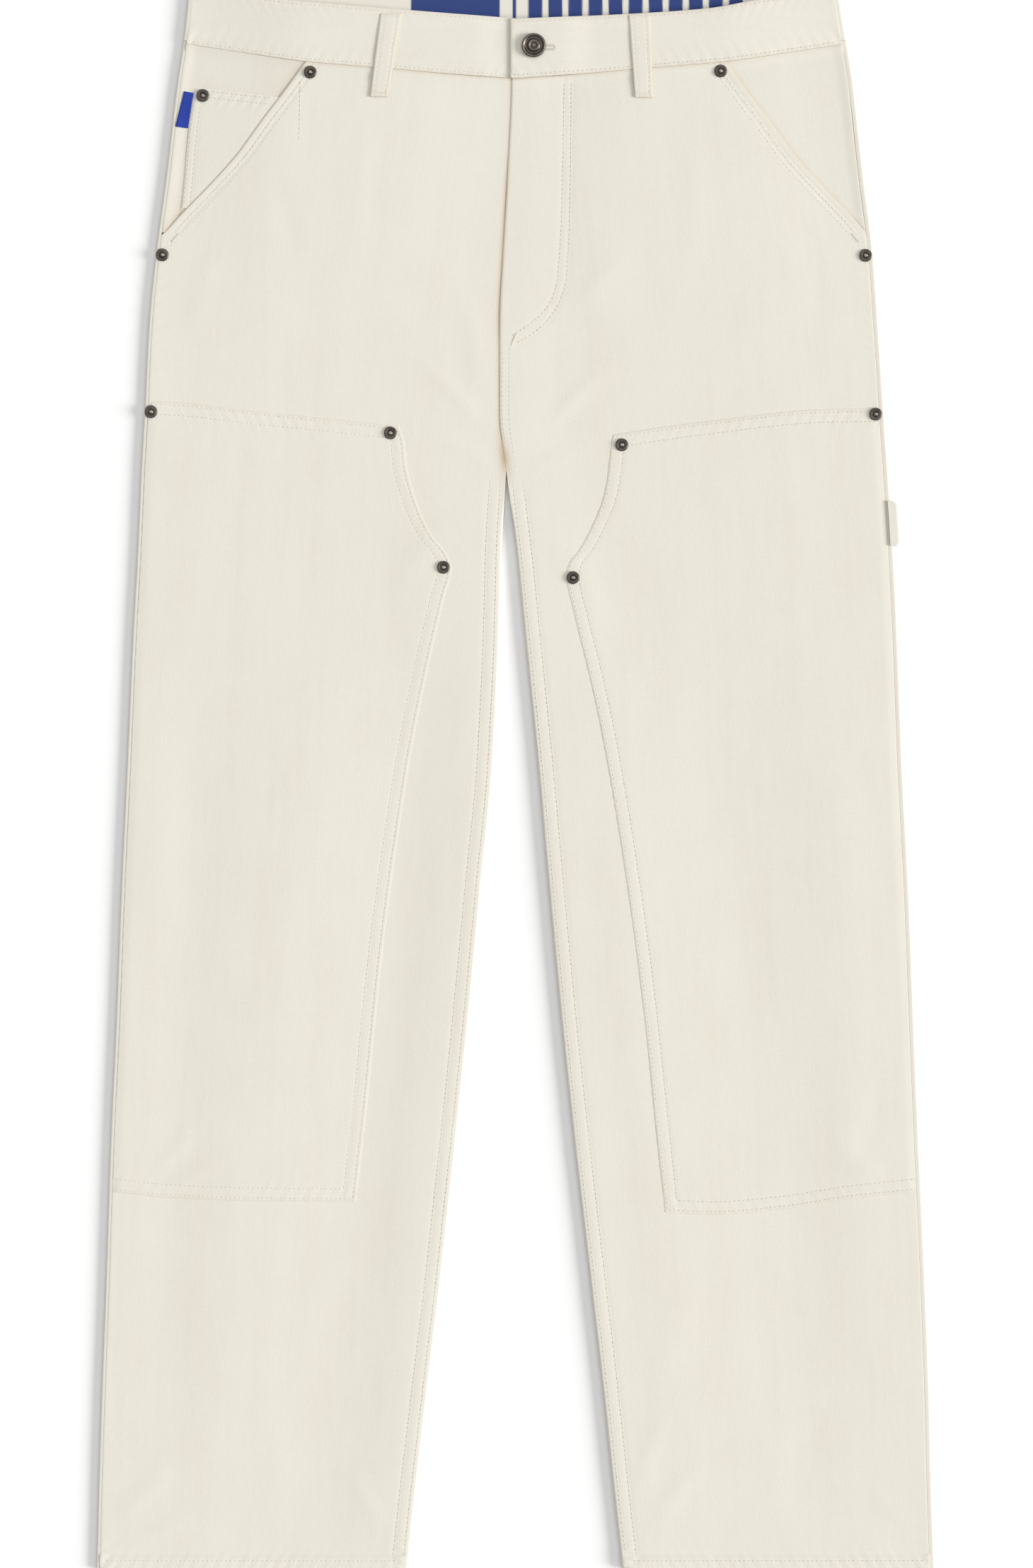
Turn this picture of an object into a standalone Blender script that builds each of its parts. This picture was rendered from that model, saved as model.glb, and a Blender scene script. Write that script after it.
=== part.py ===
# Wide double-knee work jeans, laid flat on their back, front up.
# +X is to the wearer's left, +Y to the waist, +Z up. The back panels rest on Z = 0.
# Sizes are millimetres, measured on the laid garment, and become metres where a point is made.
# "down" runs from the top of the back waistband to the hem. "out" runs from the centre line to a side.

import math
from collections import namedtuple

import bmesh
import bpy
from mathutils import Vector

MM = 0.001
LENGTH = 1124.0
GAP = 0.3

CLOTH = 1.5
FACING_CLOTH = 1.1
PATCH_CLOTH = 1.3
COIN_CLOTH = 1.0
TAB_CLOTH = 1.0
BAND_CLOTH = 2.4

# Side edge: the back panel turns up round the edge and ends in a narrow strip on top.
# The front starts there.
EDGE_ROUND = 1.9
BAND_ROUND = 2.7
BAND_STRIP = 3.2
FRONT_TURN = math.radians(60)
ROLL = 5.8
ROLL_LENGTH = FRONT_TURN * ROLL
ROLL_SPAN = ROLL * math.sin(FRONT_TURN)
ROLL_DROP = ROLL * (1 - math.cos(FRONT_TURN))
INNER_ROLL = 4.0
SHOULDER = 45.0
SIDE_MARGIN = 6.0
INSIDE_MARGIN = 4.0
SIDE_HEIGHT = 2 * EDGE_ROUND + GAP + ROLL_DROP
# The long soft folds down the legs: where they start, how they ease in, and their waves.
SWELL = {"height": 0.5, "start": 420.0, "ease": 160.0, "margin": 12.0, "side_ease": 40.0,
         "lean": 0.12, "wave": 27.0}

WAIST_LEVEL = 62.0
CROTCH = 346.5
INSEAM_FORMED = 400.0
POCKET_BEND = 155.0
POCKET_FOOT = 179.0
FACING_DROP = 2.4
FACING_EASE = 8.0
FACING_UNDER = 8.0
FACING_FOOT = 169.0
FACING_CLEAR = 1.6
COIN_CLEAR = 1.2
COIN_FOOT = 160.0
HEM_DEPTH = 10.0
HEM_STEP = 1.5
HEM_RISE = 0.7
HEM_CORNER = 12.0
HEM_LIFT = 2.5
BACK_TOP = 41.5

FLY_LAP = 10.0
FLY_FOOT = (236.0, 272.0)
FLY_RISE = (313.0, 345.0)
FLY_BLEND = 34.0
LAP_CLEAR = 0.1
BAND_END = 4.2
BAND_LAP = 30.0
BAND_LAP_BLEND = 26.0
BAND_HEIGHT = 6.9
BAND_SIDE_HEIGHT = 2 * BAND_ROUND + GAP + ROLL_DROP
BAND_UNDER = 2 * BAND_CLOTH + GAP + LAP_CLEAR
BAND_OVER = BAND_UNDER + BAND_CLOTH + GAP + LAP_CLEAR
BAND_BACK_DIP = 3.0

# Places of the grid columns across each panel, from its edges.
EDGE_STEPS = (0.0, 2.0, 4.0, 6.1, 17.0, 32.0, 50.0)
INNER_STEPS = (0.0, 1.3, 2.6, 4.2, 12.0, 24.0, 42.0)
BAND_EDGE_STEPS = (0.0, 2.0, 4.0, 6.1, 20.0, 36.0, 52.0)
FACING_STEPS = (0.0, 2.0, 4.0, 6.1, 8.2)
FRONT_MIDDLE = 3
BACK_MIDDLE = 4
BAND_MIDDLE = 7
KNEE_MIDDLE = 3
KNEE_START = 0.6

Side = namedtuple("Side", "name sign strip")
RIGHT = Side("right", -1, 2.5)
LEFT = Side("left", 1, 3.4)

# How far out the two side edges are, a row for each level down the body and legs.
Edge = namedtuple("Edge", "down right left")
SIDE_EDGES = [
    Edge(0, 230.8, 227.8),
    Edge(43, 235.0, 234.3),
    Edge(69, 239.0, 238.5),
    Edge(140, 247.5, 246.5),
    Edge(190, 254.2, 252.8),
    Edge(244, 259.5, 256.7),
    Edge(304, 262.5, 260.6),
    Edge(CROTCH, 265.0, 263.6),
    Edge(403, 267.5, 267.2),
    Edge(463, 270.8, 270.2),
    Edge(553, 274.8, 273.6),
    Edge(643, 279.0, 278.3),
    Edge(733, 282.5, 281.8),
    Edge(823, 286.6, 285.5),
    Edge(913, 289.6, 289.6),
    Edge(1003, 293.0, 292.9),
    Edge(1063, 294.9, 294.3),
    Edge(LENGTH, 296.4, 296.4),
]

# How far out the two inseams are, from the crotch to the hems.
INSEAMS = [
    Edge(CROTCH, 6.6, -6.3),
    Edge(403, 9.8, 0.8),
    Edge(463, 11.4, 6.8),
    Edge(553, 15.8, 15.8),
    Edge(643, 24.5, 23.8),
    Edge(733, 33.0, 32.3),
    Edge(823, 42.3, 41.9),
    Edge(913, 52.0, 52.3),
    Edge(1003, 62.8, 62.7),
    Edge(1063, 69.8, 69.0),
    Edge(LENGTH, 76.5, 76.0),
]

# Heights of the fronts' outer faces: in the middle of each leg, and at its inner edge.
Height = namedtuple("Height", "down middle inside")
HEIGHTS = [
    Height(0, 5.8, 4.4),
    Height(140, 5.8, 4.4),
    Height(190, 5.6, 4.4),
    Height(244, 4.8, 4.3),
    Height(304, 4.2, 4.2),
    Height(CROTCH, 3.8, 4.2),
    Height(403, 3.8, 5.8),
    Height(463, 3.8, 6.4),
    Height(553, 3.8, 6.6),
    Height(1063, 3.8, 6.6),
    Height(LENGTH, 4.2, 6.6),
]

# Curves drawn across the garment, a row for each point on them.
Point = namedtuple("Point", "out down")
FLY_LINE = [Point(2.8, 0), Point(2.8, 69), Point(5.8, 140), Point(8.8, 190), Point(11.3, 244),
            Point(11.3, 304), Point(6.45, CROTCH)]
WAIST_SEAM = [Point(0, 68.5), Point(50, 65), Point(85, 62), Point(115, 59.5), Point(149, 56.5),
              Point(195, 49.7), Point(236, 43.3)]
BAND_TOP = {
    "right": [Point(0, 26), Point(60, 21.5), Point(114, 17), Point(160, 13), Point(231, 3)],
    "left": [Point(0, 26.5), Point(80, 23), Point(136, 19), Point(170, 13), Point(228, 4)],
}
SLANT = [Point(148.5, 56.5), Point(162, 75), Point(178.5, 96.5), Point(198, 123), Point(217, 144),
         Point(236, 163.5), Point(251.5, 181)]

# The knee panels: their top edge, their bottom edge and the inner edge with its point.
KNEE_TOP = {
    "right": [Point(82.5, 314), Point(183, 303.5), Point(256, 296.5), Point(266, 297)],
    "left": [Point(68.8, 320), Point(136, 310.5), Point(222, 302), Point(266, 301.5)],
}
KNEE_BOTTOM = {
    "right": [Point(112.8, 862.5), Point(195, 861.5), Point(245, 859.5), Point(288, 855)],
    "left": [Point(105.8, 870), Point(140, 871.5), Point(190, 867.5), Point(235, 860.5),
             Point(288, 855)],
}
KNEE_INNER = {
    "right": [Point(82.5, 314), Point(78.5, 325), Point(76.8, 342), Point(72.8, 358),
              Point(67.3, 374), Point(59, 391), Point(47.5, 406), Point(44.8, 414),
              Point(50.4, 436), Point(62.5, 488.5), Point(73.4, 543), Point(82.8, 603),
              Point(91.1, 663), Point(97.9, 723), Point(103.8, 783), Point(109.2, 832),
              Point(112.8, 862.5)],
    "left": [Point(68.8, 320), Point(67.3, 331), Point(64.8, 352), Point(61.3, 367.5),
             Point(54.3, 384.5), Point(44.8, 402), Point(37.8, 411), Point(35.8, 419),
             Point(41.8, 448), Point(51.7, 488), Point(60.5, 528), Point(67.8, 568),
             Point(77.4, 628), Point(85.8, 688), Point(92.9, 748), Point(99, 808),
             Point(105.8, 870)],
}
KNEE_POINT = {"right": 412.0, "left": 417.0}

# The coin pocket on the right facing: its side edge, and the tab sewn into it.
COIN_SIDE = [Point(226.3, 74.5), Point(231.3, 107), Point(234.3, 140.5), Point(236.5, 162.5)]
COIN_TOP = [Point(165, 81.5), Point(226.3, 74.5)]
TAB = {"length": 25.0, "width": 6.2, "top": 78.5, "slope": 3.2}

BELT_LOOP = {"width": 15.0, "foot_width": 13.0, "cloth": 1.8}
BELT_LOOPS = {
    "right": (Point(87.8, 23), Point(96.3, 81.5)),
    "left": (Point(87.5, 24), Point(90.8, 82)),
}
LoopStation = namedtuple("LoopStation", "along lift")
LOOP_SHAPE = [LoopStation(0.0, 0.3), LoopStation(0.1, 0.3), LoopStation(0.25, 1.7),
              LoopStation(0.42, 2.4), LoopStation(0.58, 2.0), LoopStation(0.73, 0.8),
              LoopStation(0.84, -0.7), LoopStation(1.0, -0.7)]

HAMMER_LOOP = {"top": 367.0, "foot": 398.5, "reach": 6.2, "cloth": 1.2, "height": 5.4,
               "corner": 2.0, "seat": 1.9}

BUTTON = {"out": 12.9, "down": 45.7}
RIVET_SIDES = 10
RIVET_LIFT = 0.5
BUTTON_SIDES = 20
SHARP_ANGLE = math.radians(40)

# Turned profiles, radius and height above the seat.
Turn = namedtuple("Turn", "radius height")
RIVET_PROFILE = [Turn(4.5, 0.0), Turn(4.5, 0.35), Turn(3.9, 0.75), Turn(1.9, 0.8), Turn(1.4, 1.35)]
BUTTON_PROFILE = [Turn(7.4, 0.0), Turn(8.4, 0.9), Turn(8.5, 1.9), Turn(7.6, 2.7),
                  Turn(6.4, 2.2), Turn(4.2, 2.1), Turn(3.4, 2.9), Turn(1.6, 3.2)]

Rivet = namedtuple("Rivet", "name side out down seat")
RIVETS = [
    Rivet("rivet_pocket_top_right", RIGHT, 145.0, 64.1, "front"),
    Rivet("rivet_pocket_top_left", LEFT, 145.0, 63.3, "front"),
    Rivet("rivet_pocket_foot_right", RIGHT, 249.6, 193.0, "front"),
    Rivet("rivet_pocket_foot_left", LEFT, 247.5, 193.4, "front"),
    Rivet("rivet_coin_pocket", RIGHT, 221.0, 80.4, "coin"),
    Rivet("rivet_knee_side_right", RIGHT, 257.6, 303.9, "patch"),
    Rivet("rivet_knee_side_left", LEFT, 254.6, 305.6, "patch"),
    Rivet("rivet_knee_corner_right", RIGHT, 88.4, 318.9, "patch"),
    Rivet("rivet_knee_corner_left", LEFT, 75.2, 327.3, "patch"),
    Rivet("rivet_knee_point_right", RIGHT, 50.9, 413.9, "patch"),
    Rivet("rivet_knee_point_left", LEFT, 40.7, 421.2, "patch"),
]

Finish = namedtuple("Finish", "name colour roughness metallic")
CREAM = Finish("cream cotton", (0.80, 0.76, 0.68), 0.85, 0.0)
CREAM_DOUBLE = Finish("cream cotton, double", (0.78, 0.74, 0.66), 0.85, 0.0)
BLUE = Finish("blue woven tab", (0.012, 0.034, 0.36), 0.7, 0.0)
METAL = Finish("antique metal", (0.07, 0.055, 0.045), 0.42, 0.9)


def clear_scene():
    for thing in list(bpy.data.objects):
        bpy.data.objects.remove(thing, do_unlink=True)


def material(finish):
    made = bpy.data.materials.get(finish.name)
    if made is None:
        made = bpy.data.materials.new(finish.name)
        made.use_nodes = True
        shader = made.node_tree.nodes["Principled BSDF"]
        shader.inputs["Base Color"].default_value = (*finish.colour, 1.0)
        shader.inputs["Roughness"].default_value = finish.roughness
        shader.inputs["Metallic"].default_value = finish.metallic
        made.diffuse_color = (*finish.colour, 1.0)
    return made


def ease(amount):
    amount = min(max(amount, 0.0), 1.0)
    return amount * amount * (3 - 2 * amount)


def mix(a, b, amount):
    return a + (b - a) * amount


def read(rows, at, key, value):
    """The value of a smooth curve through the rows, at the place where their key column is at."""
    rows = sorted(rows, key=lambda row: getattr(row, key))
    keys = [getattr(row, key) for row in rows]
    values = [getattr(row, value) for row in rows]
    at = min(max(at, keys[0]), keys[-1])
    k = max(n for n in range(len(keys) - 1) if keys[n] <= at)
    runs = [(values[n + 1] - values[n]) / (keys[n + 1] - keys[n]) for n in range(len(keys) - 1)]
    slopes = []
    for n in (k, k + 1):
        before, after = runs[max(n - 1, 0)], runs[min(n, len(runs) - 1)]
        slopes.append(0.0 if before * after <= 0 else 2 * before * after / (before + after))
    width = keys[k + 1] - keys[k]
    t = (at - keys[k]) / width
    return (values[k] * (1 + 2 * t) * (1 - t) ** 2 + slopes[0] * width * t * (1 - t) ** 2
            + values[k + 1] * t * t * (3 - 2 * t) - slopes[1] * width * t * t * (1 - t))


def height_at(down, column):
    return read(HEIGHTS, down, "down", column)


def outer_edge(side, down):
    return read(SIDE_EDGES, down, "down", side.name)


def inner_edge(side, down):
    """The fly and crotch seam line above the crotch, and the inseam below it."""
    if down <= CROTCH:
        return -side.sign * read(FLY_LINE, down, "down", "out")
    return read(INSEAMS, down, "down", side.name)


def place(side, out, down, height):
    """A point of the laid garment, in metres."""
    return Vector((side.sign * out, LENGTH / 2 - down, height)) * MM


def inner_turn(down):
    """How far the inner leg edge is turned: not at the crotch, a quarter turn a little below it."""
    return math.radians(90) * ease((down - CROTCH) / (INSEAM_FORMED - CROTCH))


def inner_drop(down):
    return (height_at(down, "inside") - GAP) / 2


def swell(side, out, down):
    """The long soft folds that run down each leg."""
    size = SWELL
    along = ease((down - size["start"]) / size["ease"]) * ease((LENGTH - down) / size["ease"])
    across = 1.0
    for from_edge in (outer_edge(side, down) - out, out - inner_edge(side, down)):
        across *= ease((from_edge - size["margin"]) / size["side_ease"])
    phase = out - size["lean"] * down + size["side_ease"] * side.sign
    return size["height"] * along * across * math.sin(phase / size["wave"])


def lap_rise(side, out, down):
    """The left front lies over the right one along the fly."""
    if side is RIGHT:
        return 0.0
    from_edge = out - inner_edge(side, down)
    across = 1 - ease((from_edge - FLY_LAP - 2) / FLY_BLEND)
    along = 1 - ease((down - FLY_RISE[0]) / (FLY_RISE[1] - FLY_RISE[0]))
    return (CLOTH + GAP + LAP_CLEAR) * across * along


def front_height(side, out, down):
    """The height of the front's outer face, raised at the edges over the turned seams."""
    from_side = outer_edge(side, down) - out
    from_inside = out - inner_edge(side, down)
    middle, inside = height_at(down, "middle"), height_at(down, "inside")
    height = middle
    height += (SIDE_HEIGHT - middle) * (1 - ease((from_side - SIDE_MARGIN) / SHOULDER))
    height += (inside - middle) * (1 - ease((from_inside - INSIDE_MARGIN) / SHOULDER))
    return height + swell(side, out, down) + lap_rise(side, out, down)


def band_height(side, out, down):
    """The height of the front waistband's outer face. Its left end lies over its right end."""
    from_side = outer_edge(side, down) - out
    from_shoulder = (from_side - SIDE_MARGIN) / SHOULDER
    height = BAND_HEIGHT + (BAND_SIDE_HEIGHT - BAND_HEIGHT) * (1 - ease(from_shoulder))
    if side is RIGHT:
        return height + (BAND_UNDER - BAND_HEIGHT) * (1 - ease((out - BAND_END) / BAND_LAP_BLEND))
    from_lap = (out - BAND_LAP - 1) / BAND_LAP_BLEND
    return height + (BAND_OVER - BAND_HEIGHT) * (1 - ease(from_lap))


def front_width(side, down, start):
    """The width along the cloth, from the side seam to the inner edge."""
    return ROLL_LENGTH + outer_edge(side, down) - start - ROLL_SPAN - inner_edge(side, down)


def rolled(side, across, down, start, height):
    """A point of a front piece's outer face. across runs along the cloth from its side seam."""
    edge = outer_edge(side, down) - start
    if across < ROLL_LENGTH:
        angle = FRONT_TURN * (1 - across / ROLL_LENGTH)
        out = edge - ROLL * (math.sin(FRONT_TURN) - math.sin(angle))
        return place(side, out, down, height(side, out, down) - ROLL * (1 - math.cos(angle)))
    out = edge - ROLL_SPAN - (across - ROLL_LENGTH)
    turn = inner_turn(down)
    from_inside = out - inner_edge(side, down)
    drop = 0.0
    if turn > 0 and from_inside < INNER_ROLL:
        angle = turn * (1 - max(from_inside, 0.0) / INNER_ROLL)
        out = inner_edge(side, down) + INNER_ROLL * (1 - math.sin(angle) / math.sin(turn))
        drop = inner_drop(down) * (1 - math.cos(angle))
    return place(side, out, down, height(side, out, down) - drop)


def front_point(side, across, down):
    return rolled(side, across, down, side.strip + GAP, front_height)


def band_point(side, across, down):
    return rolled(side, across, down, BAND_STRIP + GAP, band_height)


def across_at(side, out, down):
    """The place along the front's cloth that lies a given distance out."""
    inwards = outer_edge(side, down) - side.strip - GAP - out
    if inwards >= ROLL_SPAN:
        return ROLL_LENGTH + inwards - ROLL_SPAN
    sine = min(max((ROLL_SPAN - inwards) / ROLL, 0.0), math.sin(FRONT_TURN))
    return ROLL_LENGTH * (1 - math.asin(sine) / FRONT_TURN)


def raised(point_of, side, across, down, height):
    """A point moved out from a face along its normal."""
    step = 0.4
    ways = point_of(side, across + step, down) - point_of(side, max(across - step, 0.0), down)
    along = point_of(side, across, down + step) - point_of(side, across, down - step)
    normal = ways.cross(along).normalized()
    if normal.z < 0:
        normal.negate()
    return point_of(side, across, down) + normal * height * MM


def new_object(name, work, finish):
    mesh = bpy.data.meshes.new(name)
    bmesh.ops.recalc_face_normals(work, faces=work.faces)
    work.to_mesh(mesh)
    work.free()
    mesh.shade_smooth()
    mesh.set_sharp_from_angle(angle=SHARP_ANGLE)
    mesh.materials.append(material(finish))
    made = bpy.data.objects.new(name, mesh)
    bpy.context.collection.objects.link(made)
    return made


def shell(name, outer, inner, finish):
    """A closed wall between two grids of points of the same size."""
    work = bmesh.new()
    skins = [[[work.verts.new(point) for point in row] for row in grid] for grid in (outer, inner)]
    rows, columns = len(outer), len(outer[0])
    for skin in skins:
        for i in range(rows - 1):
            for j in range(columns - 1):
                work.faces.new((skin[i][j], skin[i][j + 1], skin[i + 1][j + 1], skin[i + 1][j]))
    rim = [(0, j) for j in range(columns - 1)]
    rim += [(i, columns - 1) for i in range(rows - 1)]
    rim += [(rows - 1, j) for j in range(columns - 1, 0, -1)]
    rim += [(i, 0) for i in range(rows - 1, 0, -1)]
    for (a, b), (c, d) in zip(rim, rim[1:] + rim[:1]):
        work.faces.new((skins[0][a][b], skins[0][c][d], skins[1][c][d], skins[1][a][b]))
    return new_object(name, work, finish)


def steps(stops, counts):
    """Values that run through the stops, with the given number of steps between each pair."""
    values = [stops[0]]
    for start, end, count in zip(stops, stops[1:], counts):
        values += [mix(start, end, (n + 1) / count) for n in range(count)]
    return values


def parts(downs):
    """The same rows as parts of the way from the first to the last."""
    return [(down - downs[0]) / (downs[-1] - downs[0]) for down in downs]


def columns(start, end, start_steps, middle, end_steps):
    """Places across a panel: close together at its two edges and even between them."""
    from_start = [start + step for step in start_steps]
    from_end = [end - step for step in reversed(end_steps)]
    between = [mix(from_start[-1], from_end[0], (n + 1) / (middle + 1)) for n in range(middle)]
    return from_start + between + from_end


def hem_down(side, out):
    nearest = min(outer_edge(side, LENGTH) - out, out - inner_edge(side, LENGTH))
    return LENGTH - HEM_LIFT * (1 - ease(nearest / HEM_CORNER)) ** 2


def seam_down(out):
    return read(WAIST_SEAM, abs(out), "out", "down")


def slant_across(side, down):
    """Where the slant pocket edge crosses, or the side seam below the pocket."""
    if down >= POCKET_FOOT:
        return 0.0
    return across_at(side, read(SLANT, down, "down", "out"), down)


def front_columns(side, down):
    lap = 0.0
    if side is RIGHT:
        lap = FLY_LAP * (1 - ease((down - FLY_FOOT[0]) / (FLY_FOOT[1] - FLY_FOOT[0])))
    end = front_width(side, down, side.strip + GAP) + lap
    if down < CROTCH:
        end -= GAP / 2
    return columns(slant_across(side, down), end, EDGE_STEPS, FRONT_MIDDLE, INNER_STEPS)


def out_at(side, across, down):
    return side.sign * front_point(side, across, down).x / MM


def meet(side, column, down, edge_of):
    """Where a column of the front meets a curved edge, found in a few rounds."""
    for _ in range(4):
        down = edge_of(out_at(side, front_columns(side, down)[column], down))
    return down


def front_panel(side):
    hem_top = LENGTH - HEM_DEPTH
    stops = (WAIST_LEVEL, POCKET_BEND, POCKET_FOOT, CROTCH, INSEAM_FORMED, hem_top - HEM_STEP, hem_top,
             LENGTH)
    downs = steps(stops, (4, 3, 5, 3, 11, 1, 1))
    count = len(front_columns(side, WAIST_LEVEL))
    tops = [meet(side, j, WAIST_LEVEL, lambda out: seam_down(out) + GAP) for j in range(count)]
    feet = [meet(side, j, LENGTH, lambda out: hem_down(side, out)) for j in range(count)]
    outer, inner = [], []
    for part, nominal in zip(parts(downs), downs):
        hem = HEM_RISE if nominal >= hem_top else 0.0
        row_outer, row_inner = [], []
        for j in range(count):
            down = mix(tops[j], feet[j], part)
            across = front_columns(side, down)[j]
            row_outer.append(raised(front_point, side, across, down, hem))
            row_inner.append(raised(front_point, side, across, down, -CLOTH))
        outer.append(row_outer)
        inner.append(row_inner)
    return shell("front_" + side.name, outer, inner, CREAM)


def edge_round(edge, radius, strip, cloth):
    """Turned-up edge of a back piece: (out, height) of its outer and inner face, strip end first."""
    outer = [(edge - strip, 2 * radius)]
    inner = [(edge - strip, 2 * radius - cloth)]
    for degrees in (180, 135, 90, 45, 0):
        sine, cosine = math.sin(math.radians(degrees)), math.cos(math.radians(degrees))
        outer.append((edge - radius + radius * sine, radius - radius * cosine))
        inner.append((edge - radius + (radius - cloth) * sine, radius - (radius - cloth) * cosine))
    return outer, inner


def back_section(side, down):
    """(out, height) of the back's outer and inner face, from the side seam to the inner edge."""
    outer, inner = edge_round(outer_edge(side, down), EDGE_ROUND, side.strip, CLOTH)
    edge = inner_edge(side, down)
    if down < CROTCH:
        edge += GAP / 2
    for n in range(BACK_MIDDLE):
        out = mix(outer[5][0], edge + INNER_ROLL, (n + 1) / (BACK_MIDDLE + 1))
        outer.append((out, 0.0))
        inner.append((out, CLOTH))
    turn, drop = inner_turn(down), inner_drop(down)
    for part in (0.0, 0.33, 0.67, 1.0):
        angle = turn * part
        reach = math.sin(angle) / math.sin(turn) if turn > 0 else part
        rise = INNER_ROLL * math.cos(angle) / max(math.sin(turn), 0.2)
        slope = Vector((drop * math.sin(angle), rise))
        slope = slope.normalized() if turn > 0 else Vector((0.0, 1.0))
        point = Vector((edge + INNER_ROLL * (1 - reach), drop * (1 - math.cos(angle))))
        outer.append(tuple(point))
        inner.append(tuple(point + slope * CLOTH))
    return outer, inner


def back_panel(side):
    downs = steps((BACK_TOP + GAP, CROTCH, INSEAM_FORMED, LENGTH), (5, 3, 9))
    grids = ([], [])
    for part in parts(downs):
        nominal = mix(downs[0], LENGTH, part)
        section = back_section(side, nominal)
        for grid, face in zip(grids, section):
            row = []
            for j, (out, height) in enumerate(face):
                down = mix(downs[0], hem_down(side, section[0][j][0]), part) if part == 1 else nominal
                row.append(place(side, out, down, height))
            grid.append(row)
    return shell("back_" + side.name, *grids, CREAM)


def band_top(side, out):
    return read(BAND_TOP[side.name], max(out, 0.0), "out", "down")


def band_front(side):
    """The waistband's front run, from the side seam to its end at the centre."""
    end = -BAND_END if side is LEFT else -BAND_LAP + BAND_END
    centre_steps = (0.0, 12.0, 24.0, 36.0, 48.0, 60.0)
    grids = ([], [])
    for part in (0.0, 0.33, 0.67, 1.0):
        rows = ([], [])
        for j in range(len(BAND_EDGE_STEPS) + BAND_MIDDLE + len(centre_steps)):
            down = 30.0
            for _ in range(3):
                width = front_width(side, down, BAND_STRIP + GAP) + inner_edge(side, down) - end
                across = columns(0.0, width, BAND_EDGE_STEPS, BAND_MIDDLE, centre_steps)[j]
                out = side.sign * band_point(side, across, down).x / MM
                down = mix(band_top(side, out), seam_down(out), part)
            rows[0].append(band_point(side, across, down))
            rows[1].append(raised(band_point, side, across, down, -BAND_CLOTH))
        grids[0].append(rows[0])
        grids[1].append(rows[1])
    return shell("waistband_front_" + side.name, *grids, CREAM_DOUBLE)


def band_back():
    """The waistband's back run, from side seam to side seam, flat on its outer face."""
    grids = ([], [])
    for part in (0.0, 0.5, 1.0):
        for grid, k in zip(grids, (0, 1)):
            row = []
            for side in (RIGHT, LEFT):
                run = []
                down = mix(0.0, BACK_TOP, part)
                face = list(edge_round(outer_edge(side, down), BAND_ROUND, BAND_STRIP, BAND_CLOTH)[k])
                flat = face[-1]
                face += [(flat[0] * share, flat[1]) for share in (0.75, 0.5, 0.25)]
                for out, height in face:
                    top = BAND_BACK_DIP * ease(out / 230)
                    run.append(place(side, out, mix(top, BACK_TOP, part), height))
                if side is RIGHT:
                    row += run
                else:
                    row.append(place(side, 0.0, down, flat[1]))
                    row += run[::-1]
            grid.append(row)
    return shell("waistband_back", *grids, CREAM_DOUBLE)


def facing_drop(across):
    return FACING_DROP * ease(across / FACING_EASE)


def facing_point(side, across, down):
    """The pocket facing's outer face, a little below the front's."""
    return raised(front_point, side, across, down, -facing_drop(across))


def facing(side):
    """The cloth inside the slant pocket. It goes under the front, and beside it at the foot."""
    grids = ([], [])
    for part in parts(steps((WAIST_LEVEL, FACING_FOOT), (9,))):
        rows = ([], [])
        for j in range(len(FACING_STEPS) + 3):
            down = 60.0
            for _ in range(3):
                slant = slant_across(side, down)
                under = mix(-FACING_CLEAR, FACING_UNDER, ease((slant - FACING_EASE) / 6))
                end = slant + under
                near = [0.0]
                near += [min(FACING_STEPS[n], end * (n + 1) / 8) for n in range(1, len(FACING_STEPS))]
                across = (near + [mix(near[-1], end, (n + 1) / 3) for n in range(3)])[j]
                out = out_at(side, across, down)
                down = mix(seam_down(out) + GAP, FACING_FOOT, part)
            rows[0].append(facing_point(side, across, down))
            rows[1].append(raised(facing_point, side, across, down, -FACING_CLOTH))
        grids[0].append(rows[0])
        grids[1].append(rows[1])
    return shell("facing_" + side.name, *grids, CREAM)


def patch(name, point_of, side, places, low, high, finish):
    """A piece laid on a face: places is its grid of (across, down)."""
    upper = [[raised(point_of, side, across, down, high) for across, down in row] for row in places]
    lower = [[raised(point_of, side, across, down, low) for across, down in row] for row in places]
    return shell(name, upper, lower, finish)


def knee_panel(side):
    top, foot = KNEE_INNER[side.name][0].down, KNEE_INNER[side.name][-1].down
    downs = steps((top, KNEE_POINT[side.name], foot), (5, 9))
    starts = [KNEE_START] + list(EDGE_STEPS[1:])
    places = []
    for part in parts(downs):
        row = []
        for j in range(len(starts) + KNEE_MIDDLE + 1):
            down = mix(top, foot, part)
            for _ in range(3):
                end = across_at(side, read(KNEE_INNER[side.name], down, "down", "out"), down)
                across = columns(0.0, end, starts, KNEE_MIDDLE, (0.0,))[j]
                out = out_at(side, across, down)
                start_down = read(KNEE_TOP[side.name], out, "out", "down")
                end_down = read(KNEE_BOTTOM[side.name], out, "out", "down")
                down = mix(start_down, end_down, part)
            row.append((across, down))
        places.append(row)
    return patch("knee_" + side.name, front_point, side, places, GAP, GAP + PATCH_CLOTH, CREAM_DOUBLE)


def coin_pocket():
    places = []
    for part in (0.0, 0.2, 0.4, 0.6, 0.8, 1.0):
        row = []
        for share in (0.0, 0.25, 0.5, 0.75, 1.0):
            start = mix(COIN_TOP[1].down, COIN_TOP[0].down, share)
            down = mix(start, COIN_FOOT, part)
            side_across = across_at(RIGHT, read(COIN_SIDE, down, "down", "out"), down)
            row.append((mix(side_across, slant_across(RIGHT, down) - COIN_CLEAR, share), down))
        places.append(row)
    return patch("coin_pocket", facing_point, RIGHT, places, GAP, GAP + COIN_CLOTH, CREAM)


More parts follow.
